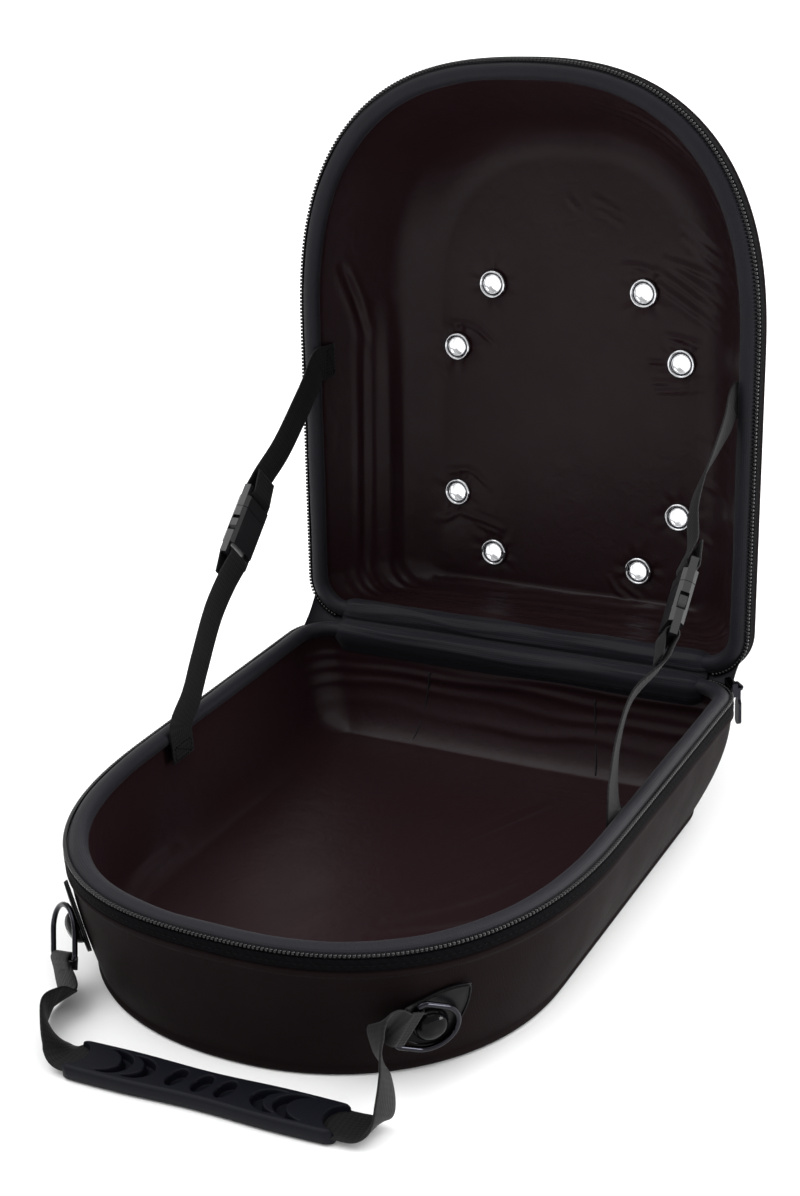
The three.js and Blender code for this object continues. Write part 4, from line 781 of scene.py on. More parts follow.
def collar_rows():
    """Depth and inset of the moulded ridge below the zip tape and of the wall's top edge"""
    ridge_top = TAPE_BOTTOM + RIDGE_GAP
    ridge_bottom = ridge_top + RIDGE_WIDTH
    crest = SKIN_INSET - RIDGE_OUT
    return [
        (ridge_bottom + RIDGE_OUT * 1.6, SKIN_INSET, 0.0),
        (ridge_bottom + RIDGE_OUT * 0.9, SKIN_INSET - RIDGE_OUT * 0.12, 0.0),
        (ridge_bottom + RIDGE_OUT * 0.3, crest + RIDGE_OUT * 0.3, 0.0),
        (ridge_bottom - RIDGE_WIDTH * 0.2, crest, 0.0),
        (ridge_top + RIDGE_WIDTH * 0.2, crest, 0.0),
        (ridge_top, crest + RIDGE_OUT * 0.35, 0.0),
        (ridge_top - RIDGE_GAP * 0.6, SKIN_INSET, 0.0),
        (WALL_TOP, SKIN_INSET, 0.0),
        (WALL_TOP, SKIN_INSET + SHELL_WALL, 0.0),
    ]


class CASE_OT_shells(bpy.types.Operator):
    """Builds the two moulded shells"""
    bl_idname = "case.shells"
    bl_label = "Shells"

    def execute(self, context):
        sizes = context.scene.case_sizes
        skin = material_for(context, "skin")
        tray = Half(sizes, False)
        bead = BEAD_OUT
        foot = tray.depth
        rows = [
            (foot, SKIN_INSET + 0.4 * MM, 0.0),
            (foot - 0.25 * MM, SKIN_INSET - bead * 0.45, 0.0),
            (foot - BEAD_HEIGHT * 0.32, SKIN_INSET - bead * 0.9, 0.0),
            (foot - BEAD_HEIGHT * 0.6, SKIN_INSET - bead, 0.0),
            (foot - BEAD_HEIGHT * 0.95, SKIN_INSET - bead * 0.75, 0.0),
            (foot - BEAD_HEIGHT * 1.15, SKIN_INSET - bead * 0.1, 0.0),
            (foot - BEAD_HEIGHT * 1.35, SKIN_INSET, 0.0),
        ]
        rows += rows_between(foot - BEAD_HEIGHT * 1.6, COLLAR_START, SKIN_INSET, 22) + collar_rows()
        obj = shell_piece(tray, "tray_shell", rows, 12)
        finish_piece(obj, skin, ["base_shell"])
        lid = Half(sizes, True)
        rows = quarter_rows(lid.depth, SKIN_INSET, LID_OUTER_ROUND, 9)[::-1]
        rows += rows_between(lid.depth - LID_OUTER_ROUND - 2 * MM, COLLAR_START, SKIN_INSET, 22)
        rows += collar_rows()
        obj = shell_piece(lid, "lid_shell_skin", rows, 40, FINE)
        cut_round_holes(obj, lid, eyelet_places(sizes), sizes.eyelet_bore / 2 + HOLE_ROOM)
        finish_piece(obj, skin, ["lid_shell"])
        return {"FINISHED"}


# Linings

# Gathers of the lining over the hinge: depth as a share of the half's depth, then height and width in metres
LID_GATHERS = [
    (0.25, 1.3 * MM, 2.2 * MM), (0.33, 1.7 * MM, 2.3 * MM), (0.41, 1.3 * MM, 2.0 * MM),
    (0.48, 1.8 * MM, 2.3 * MM), (0.56, 1.2 * MM, 1.9 * MM), (0.63, 1.8 * MM, 2.4 * MM),
    (0.70, 2.3 * MM, 2.6 * MM), (0.80, 1.4 * MM, 2.2 * MM), (0.87, 1.2 * MM, 2.0 * MM)]
TRAY_GATHERS = [
    (0.25, 1.5 * MM, 2.2 * MM), (0.35, 1.6 * MM, 2.6 * MM), (0.48, 1.1 * MM, 2.6 * MM),
    (0.66, 0.8 * MM, 3.0 * MM)]

# Single folds of the linings in millimetres of each half's own axes: start, middle, end, width and height
LID_FOLDS = [
    ((-124, 211, 23), (-120, 190, 32), (-116, 166, 38), 2.4, -1.8),
    ((-118, 172, 37), (-118, 112, 36), (-119, 22, 34), 2.6, -1.7),
    ((-111, 182, 52), (-110, 105, 50), (-110, 14, 49), 5.0, 2.2),
    ((-103, 176, 62), (-103, 105, 61), (-104, 20, 60), 2.6, -1.2),
    ((20, 302, 52), (62, 281, 58), (92, 252, 56), 1.7, 1.0),
    ((28, 306, 46), (66, 286, 50), (96, 252, 50), 1.4, 0.7),
    ((30, 309, 39), (75, 285, 42), (101, 248, 43), 1.6, 1.0),
    ((40, 312, 32), (80, 288, 36), (106, 246, 37), 1.5, 0.8),
    ((46, 314, 25), (85, 288, 29), (106, 256, 30), 1.6, 1.0),
    ((50, 315, 19), (92, 286, 22), (112, 250, 24), 1.5, 0.8),
    ((69, 240, 70), (84, 229, 68), (107, 219, 53), 1.5, 1.1),
    ((71, 232, 70), (87, 220, 68), (110, 209, 49), 1.6, 1.2),
    ((60, 219, 70), (82, 212, 69), (105, 201, 57), 1.5, 1.0),
    ((63, 215, 70), (80, 205, 70), (100, 192, 62), 1.5, 1.1),
    ((54, 213, 70), (72, 202, 70), (88, 190, 68), 1.4, 0.9),
    ((56, 204, 70), (73, 194, 70), (95, 180, 66), 1.6, 1.1),
    ((34, 214, 70), (44, 214, 70), (55, 211, 70), 1.4, 0.8),
    ((0, 251, 70), (3, 248, 70), (8, 244, 70), 1.5, 0.6),
    ((15, 252, 70), (24, 248, 70), (33, 243, 70), 1.4, 0.7),
    ((18, 246, 70), (26, 242, 70), (34, 237, 70), 1.4, 0.7),
    ((62, 176, 70), (72, 174, 70), (83, 171, 70), 1.5, 0.9),
    ((54, 148, 70), (73, 149, 70), (95, 153, 66), 1.4, 1.0),
    ((56, 143, 70), (73, 145, 70), (92, 148, 68), 1.4, 1.0),
    ((50, 160, 70), (56, 160, 70), (62, 160, 70), 1.2, 0.6),
    ((-82, 174, 70), (-62, 173, 70), (-48, 163, 70), 1.5, 0.9),
    ((-90, 151, 68), (-85, 147, 69), (-80, 141, 70), 1.4, 0.9),
    ((-95, 149, 66), (-90, 145, 68), (-85, 142, 69), 1.3, 0.7),
    ((-81, 81, 70), (-63, 84, 70), (-50, 74, 70), 1.5, 0.9),
    ((-71, 57, 70), (-55, 53, 70), (-42, 49, 70), 1.5, 1.0),
    ((-62, 52, 70), (-52, 48, 70), (-45, 46, 70), 1.3, 0.7),
    ((-89, 50, 69), (-79, 52, 70), (-70, 57, 70), 1.4, 0.8),
    ((29, 27, 70), (34, 19, 70), (43, 15, 69), 1.4, 0.8),
    ((37, 25, 70), (43, 20, 70), (50, 16, 70), 1.4, 0.7),
    ((84, 120, 69), (98, 117, 62), (106, 112, 54), 1.8, 0.9),
    ((86, 92, 69), (99, 88, 62), (107, 84, 54), 1.8, 0.9),
    ((70, 62, 70), (86, 58, 68), (100, 54, 60), 1.7, 0.9)]
TRAY_FOLDS = [
    ((20, 222, 60), (76, 178, 61), (109, 86, 60), 2.4, -1.0),
    ((20, 204, 61), (57, 163, 61), (80, 106, 61), 2.4, 0.8),
    ((22, 183, 61), (44, 148, 61), (62, 110, 61), 2.2, 0.6),
    ((48, 62, 61), (32, 97, 61), (17, 128, 61), 2.6, -0.8),
    ((30, 49, 61), (60, 49, 61), (95, 47, 61), 2.2, 0.7),
    ((-114, 236, 56), (-117, 214, 56), (-117, 190, 56), 2.2, 1.2),
    ((30, 262, 44), (78, 240, 46), (106, 196, 44), 2.2, 0.9),
    ((20, 266, 34), (80, 247, 36), (115, 200, 33), 2.0, 0.8),
    ((60, 264, 24), (98, 232, 25), (120, 186, 22), 2.0, 0.9),
    ((-96, 236, 34), (-112, 200, 36), (-116, 150, 34), 2.6, 0.8)]


# Upright seam of the tray's lining beside the hinge, in millimetres of the tray's own axes
LINING_SEAM = [(53, 10.2, 20), (54, 12.4, 33), (56, 17.6, 48), (59, 26, 59.5)]


def fold_height(grid, folds):
    """Height of single folds: a soft crest along a bent line, with a dip on both sides, fading at its ends"""
    total = np.zeros(grid.shape[:2])
    for start, middle, end, width, height in folds:
        line = spline(np.array([start, middle, end]) * MM, 9)
        near = np.full(grid.shape[:2], 1.0)
        share = np.zeros(grid.shape[:2])
        for i, (a, b) in enumerate(zip(line, line[1:])):
            step = b - a
            t = np.clip(((grid - a) @ step) / (step @ step), 0, 1)
            away = np.linalg.norm(grid - a - t[..., None] * step, axis=-1)
            share = np.where(away < near, (i + t) / (len(line) - 1), share)
            near = np.minimum(near, away)
        across = near / (width * MM)
        fade = np.sqrt(np.sin(np.clip(share, 0.02, 0.98) * math.pi))
        total += height * MM * fade * (np.exp(-across**2) - 0.35 * np.exp(-((across - 2) ** 2)))
    return total


def gather_height(half, grid, gathers):
    """Height of the folds along the hinge side, fading out round its corners and wandering along the hinge"""
    back = np.array([half.plan(d, LINING_INNER)["back"] for d in grid[:, 0, 2]])[:, None]
    fade = np.clip(1 - (grid[..., 1] - back) / (HINGE_CORNER * 0.9), 0, 1)
    x = grid[..., 0]
    total = np.zeros(grid.shape[:2])
    for i, (share, height, width) in enumerate(gathers):
        wander = 1.6 * MM * np.sin(x * (21 + 7 * i) + 1.7 * i) + 0.8 * MM * np.sin(x * (63 + 11 * i) + i)
        swell = 0.65 + 0.35 * np.sin(x * (17 + 5 * i) + 2.3 * i)
        away = (grid[..., 2] - share * half.depth + wander) / width
        total += height * swell * np.exp(-away * away)
    return fade * total


def lid_wrinkles(half, grid):
    """Soft wrinkles of the lid's lining: along the right of the arch, across the right wall, and its folds"""
    x, y, depth = grid[..., 0], grid[..., 1], grid[..., 2]
    shoulder = half.length - RIM_ARCH_LENGTH
    angle = np.degrees(np.arctan2(y - shoulder, x))
    wall = window(depth, 9 * MM, 64 * MM, 10 * MM)
    slant = depth + 3 * MM * np.sin(angle * 0.09)
    contour = np.sin(slant * 2 * math.pi / (6.5 * MM)) * window(angle, 12, 84, 22) * wall
    skew = (y - 0.20 + 0.55 * depth)
    beside = window(y, 0.165, 0.235, 0.03) * window(x, 0.085, 0.14, 0.02)
    diagonal = np.sin(skew * 2 * math.pi / (12 * MM)) * beside * wall
    slow = ripple(grid, [((31, 17, 40), 0.4, 0.5), ((-22, 43, 25), 1.9, 0.4), ((58, -35, 61), 3.1, 0.2)])
    return 0.25 * MM * contour + 0.3 * MM * diagonal + 0.7 * MM * slow + fold_height(grid, LID_FOLDS)


def eyelet_puckers(half, grid, sizes):
    """Small radial puckers where each eyelet draws the lining in"""
    total = np.zeros(grid.shape[:2])
    flat = np.clip((grid[..., 2] - (half.depth - 14 * MM)) / (6 * MM), 0, 1)
    for k, (ex, ey) in enumerate(eyelet_places(sizes)):
        dx, dy = grid[..., 0] - ex, grid[..., 1] - ey
        away = np.hypot(dx, dy)
        turn = np.arctan2(dy, dx)
        spokes = np.sin(turn * 7 + k * 1.3) + 0.6 * np.sin(turn * 11 + k * 2.1)
        ring = np.exp(-((away - 11 * MM) / (4.5 * MM)) ** 2)
        total += flat * (0.22 * MM * spokes * ring - 1.1 * MM * np.exp(-(away / (9.5 * MM)) ** 4))
    return total


def lining_piece(half, name, round_foot, gathers, extra, panel_rings):
    """The inner skin of one half, with its folds as real depth"""
    floor = half.depth - SHELL_WALL - SEAT_GAP - LINING_WALL
    rows = [(WALL_TOP, LINING_INNER - LINING_WALL, 0.0)]
    rows += rows_between(WALL_TOP, floor - round_foot, LINING_INNER, 42)
    rows += quarter_rows(floor, LINING_INNER, round_foot, 12)
    rings = [half.ring(*row, steps=CLOTH) for row in rows]
    rings += half.panel_rings(rings[-1], panel_rings)
    grid = np.array(rings)
    inwards = -grid_normals(grid)
    middle = np.array([0, half.length / 2, 0])
    facing = np.sign(((middle - grid) * inwards).sum(-1, keepdims=True))
    flat = grid[..., 2:] > floor - 0.02 * MM
    inwards = np.where(flat, [0, 0, -1], inwards)
    facing = np.where(flat, 1, facing)
    height = gather_height(half, grid, gathers) + extra(grid)
    height[0] = 0
    grid = grid + inwards * facing * height[..., None]
    placed = half.place(grid)
    return link_mesh(name, placed.reshape(-1, 3), grid_faces(*grid.shape[:2]))


class CASE_OT_linings(bpy.types.Operator):
    """Builds the satin linings with their gathers, wrinkles and puckers"""
    bl_idname = "case.linings"
    bl_label = "Linings"

    def execute(self, context):
        sizes = context.scene.case_sizes
        cloth = material_for(context, "lining")
        tray, lid = Half(sizes, False), Half(sizes, True)

        def tray_unevenness(grid):
            slow = ripple(grid, [((36, 21, 50), 0.2, 0.6), ((-27, 39, 33), 2.2, 0.4)])
            return 0.5 * MM * slow + fold_height(grid, TRAY_FOLDS)

        def lid_unevenness(grid):
            return lid_wrinkles(lid, grid) + eyelet_puckers(lid, grid, sizes)

        obj = lining_piece(tray, "tray_lining", TRAY_ROUND, TRAY_GATHERS, tray_unevenness, 60)
        finish_piece(obj, cloth, ["base_lining"])
        for side in (-1, 1):
            line = [tray.place(np.array(p) * MM * [side, 1, 1]) for p in LINING_SEAM]
            name = f"tray_lining_seam_{'left' if side < 0 else 'right'}"
            seam = tube_mesh(name, spline(line, 24), 0.45 * MM, 8)
            finish_piece(seam, material_for(context, "webbing"))
        obj = lining_piece(lid, "lid_lining_cloth", LID_INNER_ROUND, LID_GATHERS, lid_unevenness, 84)
        cut_round_holes(obj, lid, eyelet_places(sizes), sizes.eyelet_bore / 2 + HOLE_ROOM)
        finish_piece(obj, cloth, ["lid_lining"])
        return {"FINISHED"}


# Rims

# The roll's section: inset and depth as shares of its width and height
ROLL_SECTION = [
    (0.00, 0.96), (0.00, 0.60), (0.08, 0.36), (0.22, 0.13), (0.42, 0.02), (0.62, 0.00), (0.82, 0.10),
    (0.96, 0.33), (1.00, 0.60), (0.94, 0.86), (0.84, 1.00), (0.42, 1.00)]


def roll_piece(half, name, sizes):
    """The padded roll round one rim, a little uneven where the cloth is drawn over its core"""
    section = np.array(ROLL_SECTION)
    closed = np.vstack([section[-2:], section, section[:2]])
    fine = spline(np.column_stack([closed, np.zeros(len(closed))]), 15 * 3 + 1)[6:-7, :2]
    rings = [half.ring(d * sizes.roll_height - BAND_RISE, SKIN_INSET + i * sizes.roll_width) for i, d in fine]
    grid = np.array(rings)
    normal = grid_normals(grid, wrap_rows=True)
    centre = grid.mean(0, keepdims=True)
    outward = normal * np.sign(((grid - centre) * normal).sum(-1, keepdims=True))
    waves = [((95, 80, 30), 0.3, 0.5), ((-150, 60, 90), 1.1, 0.35), ((230, -190, 140), 2.0, 0.25)]
    uneven = 0.16 * MM * ripple(grid, waves)
    grid = grid + outward * (uneven - 0.1 * MM)[..., None]
    placed = half.place(grid)
    along = np.concatenate([[0], np.cumsum(np.linalg.norm(np.diff(grid[0], axis=0), axis=1))])
    across = np.linspace(0, 0.028, len(grid))
    uv = np.stack(np.meshgrid(along, across), axis=-1).reshape(-1, 2)
    return link_mesh(name, placed.reshape(-1, 3), grid_faces(*grid.shape[:2], wrap_rows=True), uv=uv)


def tape_piece(half, name):
    """Zip tape, with a sewn edge and a slight cushion between the seam and the chain"""
    out = TAPE_INSET
    section = [
        (out + TAPE_THICKNESS, TAPE_TOP), (out + 0.2 * MM, TAPE_TOP), (out, TAPE_TOP + 0.5 * MM),
        (out - 0.15 * MM, TAPE_TOP + 2.2 * MM), (out + 0.25 * MM, TAPE_TOP + 3.3 * MM),
        (out - 0.1 * MM, TAPE_TOP + 4.4 * MM), (out + 0.1 * MM, TAPE_BOTTOM - 0.3 * MM),
        (out + 0.5 * MM, TAPE_BOTTOM), (out + TAPE_THICKNESS, TAPE_BOTTOM),
    ]
    grid = np.array([half.ring(depth, inset, steps=MEDIUM, open_hinge=True) for inset, depth in section])
    faces = grid_faces(*grid.shape[:2], wrap_columns=False, wrap_rows=True)
    return link_mesh(name, half.place(grid).reshape(-1, 3), faces, uv=grid_uv(grid))


# One zip tooth, as shares of the pitch, of its thickness and of its width
TOOTH_SHAPE = [(-0.34, -0.5, -0.5), (0.34, -0.5, -0.5), (0.34, 0.5, -0.5), (-0.34, 0.5, -0.5),
               (-0.34, -0.42, 0.3), (0.34, -0.42, 0.3), (0.34, 0.42, 0.3), (-0.34, 0.42, 0.3),
               (-0.16, -0.26, 0.5), (0.16, -0.26, 0.5), (0.16, 0.26, 0.5), (-0.16, 0.26, 0.5)]
TOOTH_FACES = [(0, 3, 2, 1), (0, 1, 5, 4), (1, 2, 6, 5), (2, 3, 7, 6), (3, 0, 4, 7),
               (4, 5, 9, 8), (5, 6, 10, 9), (6, 7, 11, 10), (7, 4, 8, 11), (8, 9, 10, 11)]


def teeth_piece(half, name, sizes):
    """Single moulded teeth along the edge of the tape"""
    inset = TAPE_INSET - SEAT_GAP + CHAIN_WIDTH / 2
    depth = CHAIN_THICKNESS / 2 - CHAIN_RISE
    line = half.ring(depth, inset, steps=FINE, open_hinge=True)[2:-3]
    outer = half.ring(depth, inset - 1 * MM, steps=FINE, open_hinge=True)[2:-3]
    places, along = walk(half.place(line), sizes.tooth_pitch)
    out_line, _ = walk(half.place(outer), sizes.tooth_pitch)
    count = len(places)
    index = np.linspace(0, len(out_line) - 1, count)
    evenly = [np.interp(index, np.arange(len(out_line)), out_line[:, k]) for k in range(3)]
    outward = np.column_stack(evenly) - places
    shape = np.array(TOOTH_SHAPE) * [sizes.tooth_pitch, 0.65 * CHAIN_THICKNESS, 0.8 * CHAIN_WIDTH]
    return scatter_shapes(name, shape, TOOTH_FACES, places, along, outward)


def seam_along(half, name, inset, depth, sizes):
    """A row of stitches round one half, on its outer side"""
    line = half.place(half.ring(depth, inset, steps=FINE, open_hinge=True))
    out = half.place(half.ring(depth, inset - 1 * MM, steps=FINE, open_hinge=True)) - line
    return stitch_row(name, line, out, sizes)


class CASE_OT_rims(bpy.types.Operator):
    """Builds the padded rolls, the zip tapes, their stitching and the zip teeth"""
    bl_idname = "case.rims"
    bl_label = "Rims and zip"

    def execute(self, context):
        sizes = context.scene.case_sizes
        for word, node, is_lid in (("tray", "base", False), ("lid", "lid", True)):
            half = Half(sizes, is_lid)
            roll = roll_piece(half, f"{word}_rim_roll", sizes)
            finish_piece(roll, material_for(context, "roll"), [f"{node}_rim_band"])
            tape = tape_piece(half, f"{word}_tape")
            finish_piece(tape, material_for(context, "tape"), [f"{node}_zip_tape"])
            teeth = teeth_piece(half, f"{word}_teeth", sizes)
            finish_piece(teeth, material_for(context, "teeth"), [f"{node}_zip_chain"])
            seam = seam_along(half, f"{word}_tape_seam", TAPE_INSET + 0.1 * MM, TAPE_TOP + 3.3 * MM, sizes)
            finish_piece(seam, material_for(context, "thread"))
        return {"FINISHED"}


# Hinge

# How the lining cloth lies over a roll on the hinge side: distance from the hinge and depth in millimetres
HINGE_COVER = [
    (9.0, 15), (10.2, 11.5), (12.4, 7.6), (13.2, 3.4), (11.8, -0.6), (8.6, -2.6), (5.0, -2.9), (2.9, -2.6)]

# Folds of that cloth: place from tray to lid, height in millimetres and width as a share of the way
HINGE_FOLDS = [
    (-0.72, 0.7, 0.05), (-0.52, 0.6, 0.045), (-0.34, 0.8, 0.05), (-0.18, 0.6, 0.04), (0.16, 0.7, 0.04),
    (0.30, 0.6, 0.045), (0.46, 0.9, 0.05), (0.62, 0.7, 0.05), (0.80, 0.8, 0.05)]


class CASE_OT_hinge(bpy.types.Operator):
    """Builds the cloth strip that joins lid and tray"""
    bl_idname = "case.hinge"
    bl_label = "Cloth hinge"

    def execute(self, context):
        sizes = context.scene.case_sizes
        tray, lid = Half(sizes, False), Half(sizes, True)
        reach = sizes.rim_width / 2 - HINGE_CORNER - SEAT_GAP
        out, inner = TAPE_INSET, TAPE_INSET + TAPE_THICKNESS
        outer_depths = (TAPE_BOTTOM, 4 * MM, 1.4 * MM)
        corners = [tray.place([0, out, d]) for d in outer_depths]
        corners += [lid.place([0, out, d]) for d in outer_depths[::-1]]
        corners += [lid.place([0, inner, d]) for d in (TAPE_BOTTOM, 4 * MM, 2 * MM)]
        corners += [tray.place([0, inner, d]) for d in (-0.4 * MM, 2 * MM, TAPE_BOTTOM)]
        xs = np.linspace(-reach, reach, 120)
        rows = [np.column_stack([xs, np.full_like(xs, y), np.full_like(xs, z)]) for _, y, z in corners]
        grid = np.array(rows)
        sway = 0.18 * MM * (np.sin(xs * 90) + np.sin(xs * 141 + 1))
        grid[1:5, :, 1] += sway * 0.5
        grid[8:11, :, 2] += sway
        faces = [list(f) for f in grid_faces(len(corners), len(xs), wrap_columns=False, wrap_rows=True)]
        faces.append([i * len(xs) for i in range(len(corners))])
        faces.append([i * len(xs) + len(xs) - 1 for i in range(len(corners))])
        obj = link_mesh("hinge_cloth", grid.reshape(-1, 3), faces, uv=grid_uv(grid))
        finish_piece(obj, material_for(context, "roll"), ["hinge_strip"])
        cover, cut = self.gathered_cover(tray, lid, reach)
        finish_piece(cover, material_for(context, "roll"), ["hinge_strip"])
        gussets = [self.corner_gusset(tray, lid, side) for side in (-1, 1)]
        for gusset in gussets:
            finish_piece(gusset, material_for(context, "roll"), ["hinge_strip"])
        return {"FINISHED"}

    def gathered_cover(self, tray, lid, reach):
        """Lining cloth that runs from the tray over both rolls into the lid, and the size it is cut to"""
        tray_rows = [tray.place([0, y * MM, d * MM]) for y, d in HINGE_COVER]
        lid_rows = [lid.place([0, y * MM, d * MM]) for y, d in HINGE_COVER[::-1]]
        section = spline(np.array(tray_rows + lid_rows), 72)
        xs = np.linspace(-reach - 3 * MM, reach + 3 * MM, 220)
        share = np.linspace(-1, 1, len(section))[:, None]
        tangent = unit(np.gradient(section, axis=0))
        out = np.cross(np.array([1, 0, 0]), tangent)
        out = out * np.where(out[:, 1:2] > out[:, 2:3], -1, 1)
        fold = np.zeros((len(section), len(xs)))
        for i, (place, height, width) in enumerate(HINGE_FOLDS):
            wander = 0.035 * np.sin(xs * (24 + 9 * i) + 1.9 * i)[None, :]
            wander = wander + 0.02 * np.sin(xs * (71 + 5 * i) + i)[None, :]
            swell = 0.6 + 0.4 * np.sin(xs * (19 + 6 * i) + 2.1 * i)[None, :]
            fold += height * MM * swell * np.exp(-((share - place + wander) / width) ** 2)
        sink = 2.6 * MM * np.clip((np.abs(xs) - reach + 5 * MM) / (8 * MM), 0, 1)[None, :] ** 2
        grid = np.stack(np.broadcast_arrays(xs[None, :], section[:, 1:2], section[:, 2:3]), axis=-1)
        grid = grid + out[:, None] * (fold - sink)[..., None]
        faces = grid_faces(*grid.shape[:2], wrap_columns=False)
        cover = link_mesh("hinge_cover", grid.reshape(-1, 3), faces, uv=grid_uv(grid))
        run = np.linalg.norm(np.diff(grid, axis=0), axis=2).sum(0).mean()
        return cover, (xs[-1] - xs[0], run)

    def corner_gusset(self, tray, lid, side):
        """Cloth web that closes the notch between the two rounded corners"""
        rows = []
        first = FINE["back"]
        for half in (tray, lid):
            corner = half.ring(3 * MM, TAPE_INSET + 1.2 * MM)[first - 1:first + FINE["corner"] - 3]
            rows.append(half.place(corner * [side, 1, 1]))
        low, high = rows
        shares = np.linspace(0, 1, 9)[:, None, None]
        grid = low + (high - low) * shares
        slack = np.sin(shares * math.pi) * np.linspace(0, 1, grid.shape[1])[None, :, None]
        grid = grid + slack * np.array([-side * 1.5 * MM, -1.2 * MM, 0])
        name = f"hinge_gusset_{'left' if side < 0 else 'right'}"
        faces = grid_faces(*grid.shape[:2], wrap_columns=False)
        return link_mesh(name, grid.reshape(-1, 3), faces, uv=grid_uv(grid))


# Eyelets

# Across as a share of the room a flange has on the flat panel, and up as a share of the rim's length
EYELET_ROWS = [(0.660, 0.599), (0.988, 0.482), (0.997, 0.209), (0.660, 0.101)]


def eyelet_places(sizes):
    """Where the eyelets stand on the lid's panel, in the lid's own x and y"""
    lid = Half(sizes, True)
    panel = lid.depth - SHELL_WALL - SEAT_GAP - LINING_WALL
    room = lid.plan(panel, LINING_INNER, LID_INNER_ROUND)["half"] - sizes.eyelet_flange / 2
    return [(side * across * room, up * sizes.rim_length) for side in (-1, 1) for across, up in EYELET_ROWS]


def turned_mesh(name, profile, centre, axis, steps):
    """A turned piece: rows of radius and height round an axis"""
    axis = Vector(axis).normalized()
    turn_to = Vector((0, 0, 1)).rotation_difference(axis).to_matrix()
    angles = np.arange(steps) / steps * 2 * math.pi
    profile = np.array(profile)
    grid = np.stack([
        profile[:, 0:1] * np.cos(angles), profile[:, 0:1] * np.sin(angles),
        np.broadcast_to(profile[:, 1:2], (len(profile), steps))], axis=-1)
    world = grid @ np.array(turn_to).T + np.array(centre)
    return link_mesh(name, world.reshape(-1, 3), grid_faces(len(profile), steps, wrap_rows=True))


class CASE_OT_eyelets(bpy.types.Operator):
    """Builds the rolled eyelets and their washers, with a thin dark ring of painted shade in each groove"""
    bl_idname = "case.eyelets"
    bl_label = "Eyelets"

    def execute(self, context):
        sizes = context.scene.case_sizes
        lid = Half(sizes, True)
        bore, flange = sizes.eyelet_bore / 2, sizes.eyelet_flange / 2
        inside = lid.depth - SHELL_WALL - 2 * SEAT_GAP - LINING_WALL
        outside = lid.depth + SEAT_GAP
        rise = 1.7 * MM
        groove = bore + 1.25 * MM
        half_roll = (flange - groove - 0.15 * MM) / 2
        roll = [(flange - half_roll * (1 + math.cos(a)), inside - rise * math.sin(a) ** 0.8)
                for a in np.linspace(0.1, math.pi - 0.1, 11)]
        lip = [(0.0, 0.0), (0.1, 0.45), (0.5, 0.62), (0.9, 0.42), (1.05, 0.08)]
        barrel = [(flange, inside - 0.15 * rise), (flange - 0.1 * MM, inside), (bore + 0.7 * MM, inside)]
        washer = [
            (bore + 0.7 * MM, outside), (flange - 0.5 * MM, outside), (flange - 0.7 * MM, outside + 0.5 * MM),
            (bore + 0.6 * MM, outside + 0.7 * MM), (bore, outside + 0.4 * MM)]
        profile = [(bore + r * MM, inside - rise * h) for r, h in lip] + roll + barrel + washer
        axis = lid.place([0, 0, 1]) - lid.place([0, 0, 0])
        for i, (x, y) in enumerate(eyelet_places(sizes)):
            obj = turned_mesh(f"eyelet_turned_{i + 1}", profile, lid.place([x, y, 0]), axis, 40)
            finish_piece(obj, material_for(context, "nickel"), [f"eyelet_{i + 1}"])
            # A thin dark ring in the cap's colour lies in the groove between lip and roll: painted shade for
            # the shadow in the groove, not a part of the eyelet
            line = [lid.place([x + groove * math.cos(a), y + groove * math.sin(a), inside - 0.3 * rise])
                    for a in np.linspace(0, 2 * math.pi, 40, endpoint=False)]
            seam = tube_mesh(f"eyelet_groove_{i + 1}", line, 0.3 * MM, 8, closed=True)
            finish_piece(seam, material_for(context, "cap"))
        return {"FINISHED"}


# Stays

STAY_LID_PLACE = 157 * MM
STAY_TRAY_PLACE = 161 * MM
STAY_SEWN_LENGTH = 11 * MM
STAY_TWIST = math.radians(29)
STAY_BOW = 8 * MM
SOCKET_LENGTH = 29 * MM
PLUG_LENGTH = 14 * MM
BUCKLE_BAR = 3 * MM
BUCKLE_THICKNESS = 8 * MM

# Short end of the webbing at a buckle, and the sewn box at each end of a stay
STAY_TAIL = 13 * MM
BOX_SEAM = (8 * MM, 15 * MM)

# Turn of the webbing round a bar, in degrees from its short end to where it leaves, and the sections it gives
WRAP_ANGLES = [-90, -112, -135, -158, 180, 158, 135, 112, 90]
WRAP_SECTIONS = len(WRAP_ANGLES) + 4

# How each slack stay runs: along, bow and twist, as in the part's source
STAY_RUNS = {
    "left_stay": {
        "side": -1, "buckle": (0.44, 0.85, 0), "lid": [(0.25, 0.45, 0), (0.13, 0.12, 0), (0.06, 0.00, 0)],
        "tray": [(0.70, 0.80, 0), (0.84, 0.35, 0), (0.93, 0.00, 0)]},
    "right_stay": {
        "side": 1, "buckle": (0.48, -0.2, 1.0),
        "lid": [(0.29, 0.55, 1.0), (0.22, 0.65, 0.95), (0.12, 0.25, 0.55), (0.05, 0.00, 0.20)],
        "tray": [(0.74, 0.95, 0.70), (0.84, 1.05, 0.50), (0.94, 0.55, 0.20)]},
}


def turned_about(vector, axis, angle):
    """A vector turned about an axis"""
    return np.array(Matrix.Rotation(angle, 3, Vector(axis)) @ Vector(vector))


def wrap_sections(bar, along, pull, radius, tail, tail_gap):
    """Half a turn of webbing round a bar, with its short end laid back on the strap"""
    lift = unit(np.cross(pull, along))
    half_gap = tail_gap / 2
    between = (radius + half_gap) / 2
    run = [(tail, -half_gap), (tail * 0.5, -between)]
    run += [(radius * math.cos(a), radius * math.sin(a)) for a in np.radians(WRAP_ANGLES)]
    run += [(tail * 0.5, between), (tail, half_gap)]
    return [(bar + pull * p + lift * q, along) for p, q in run]


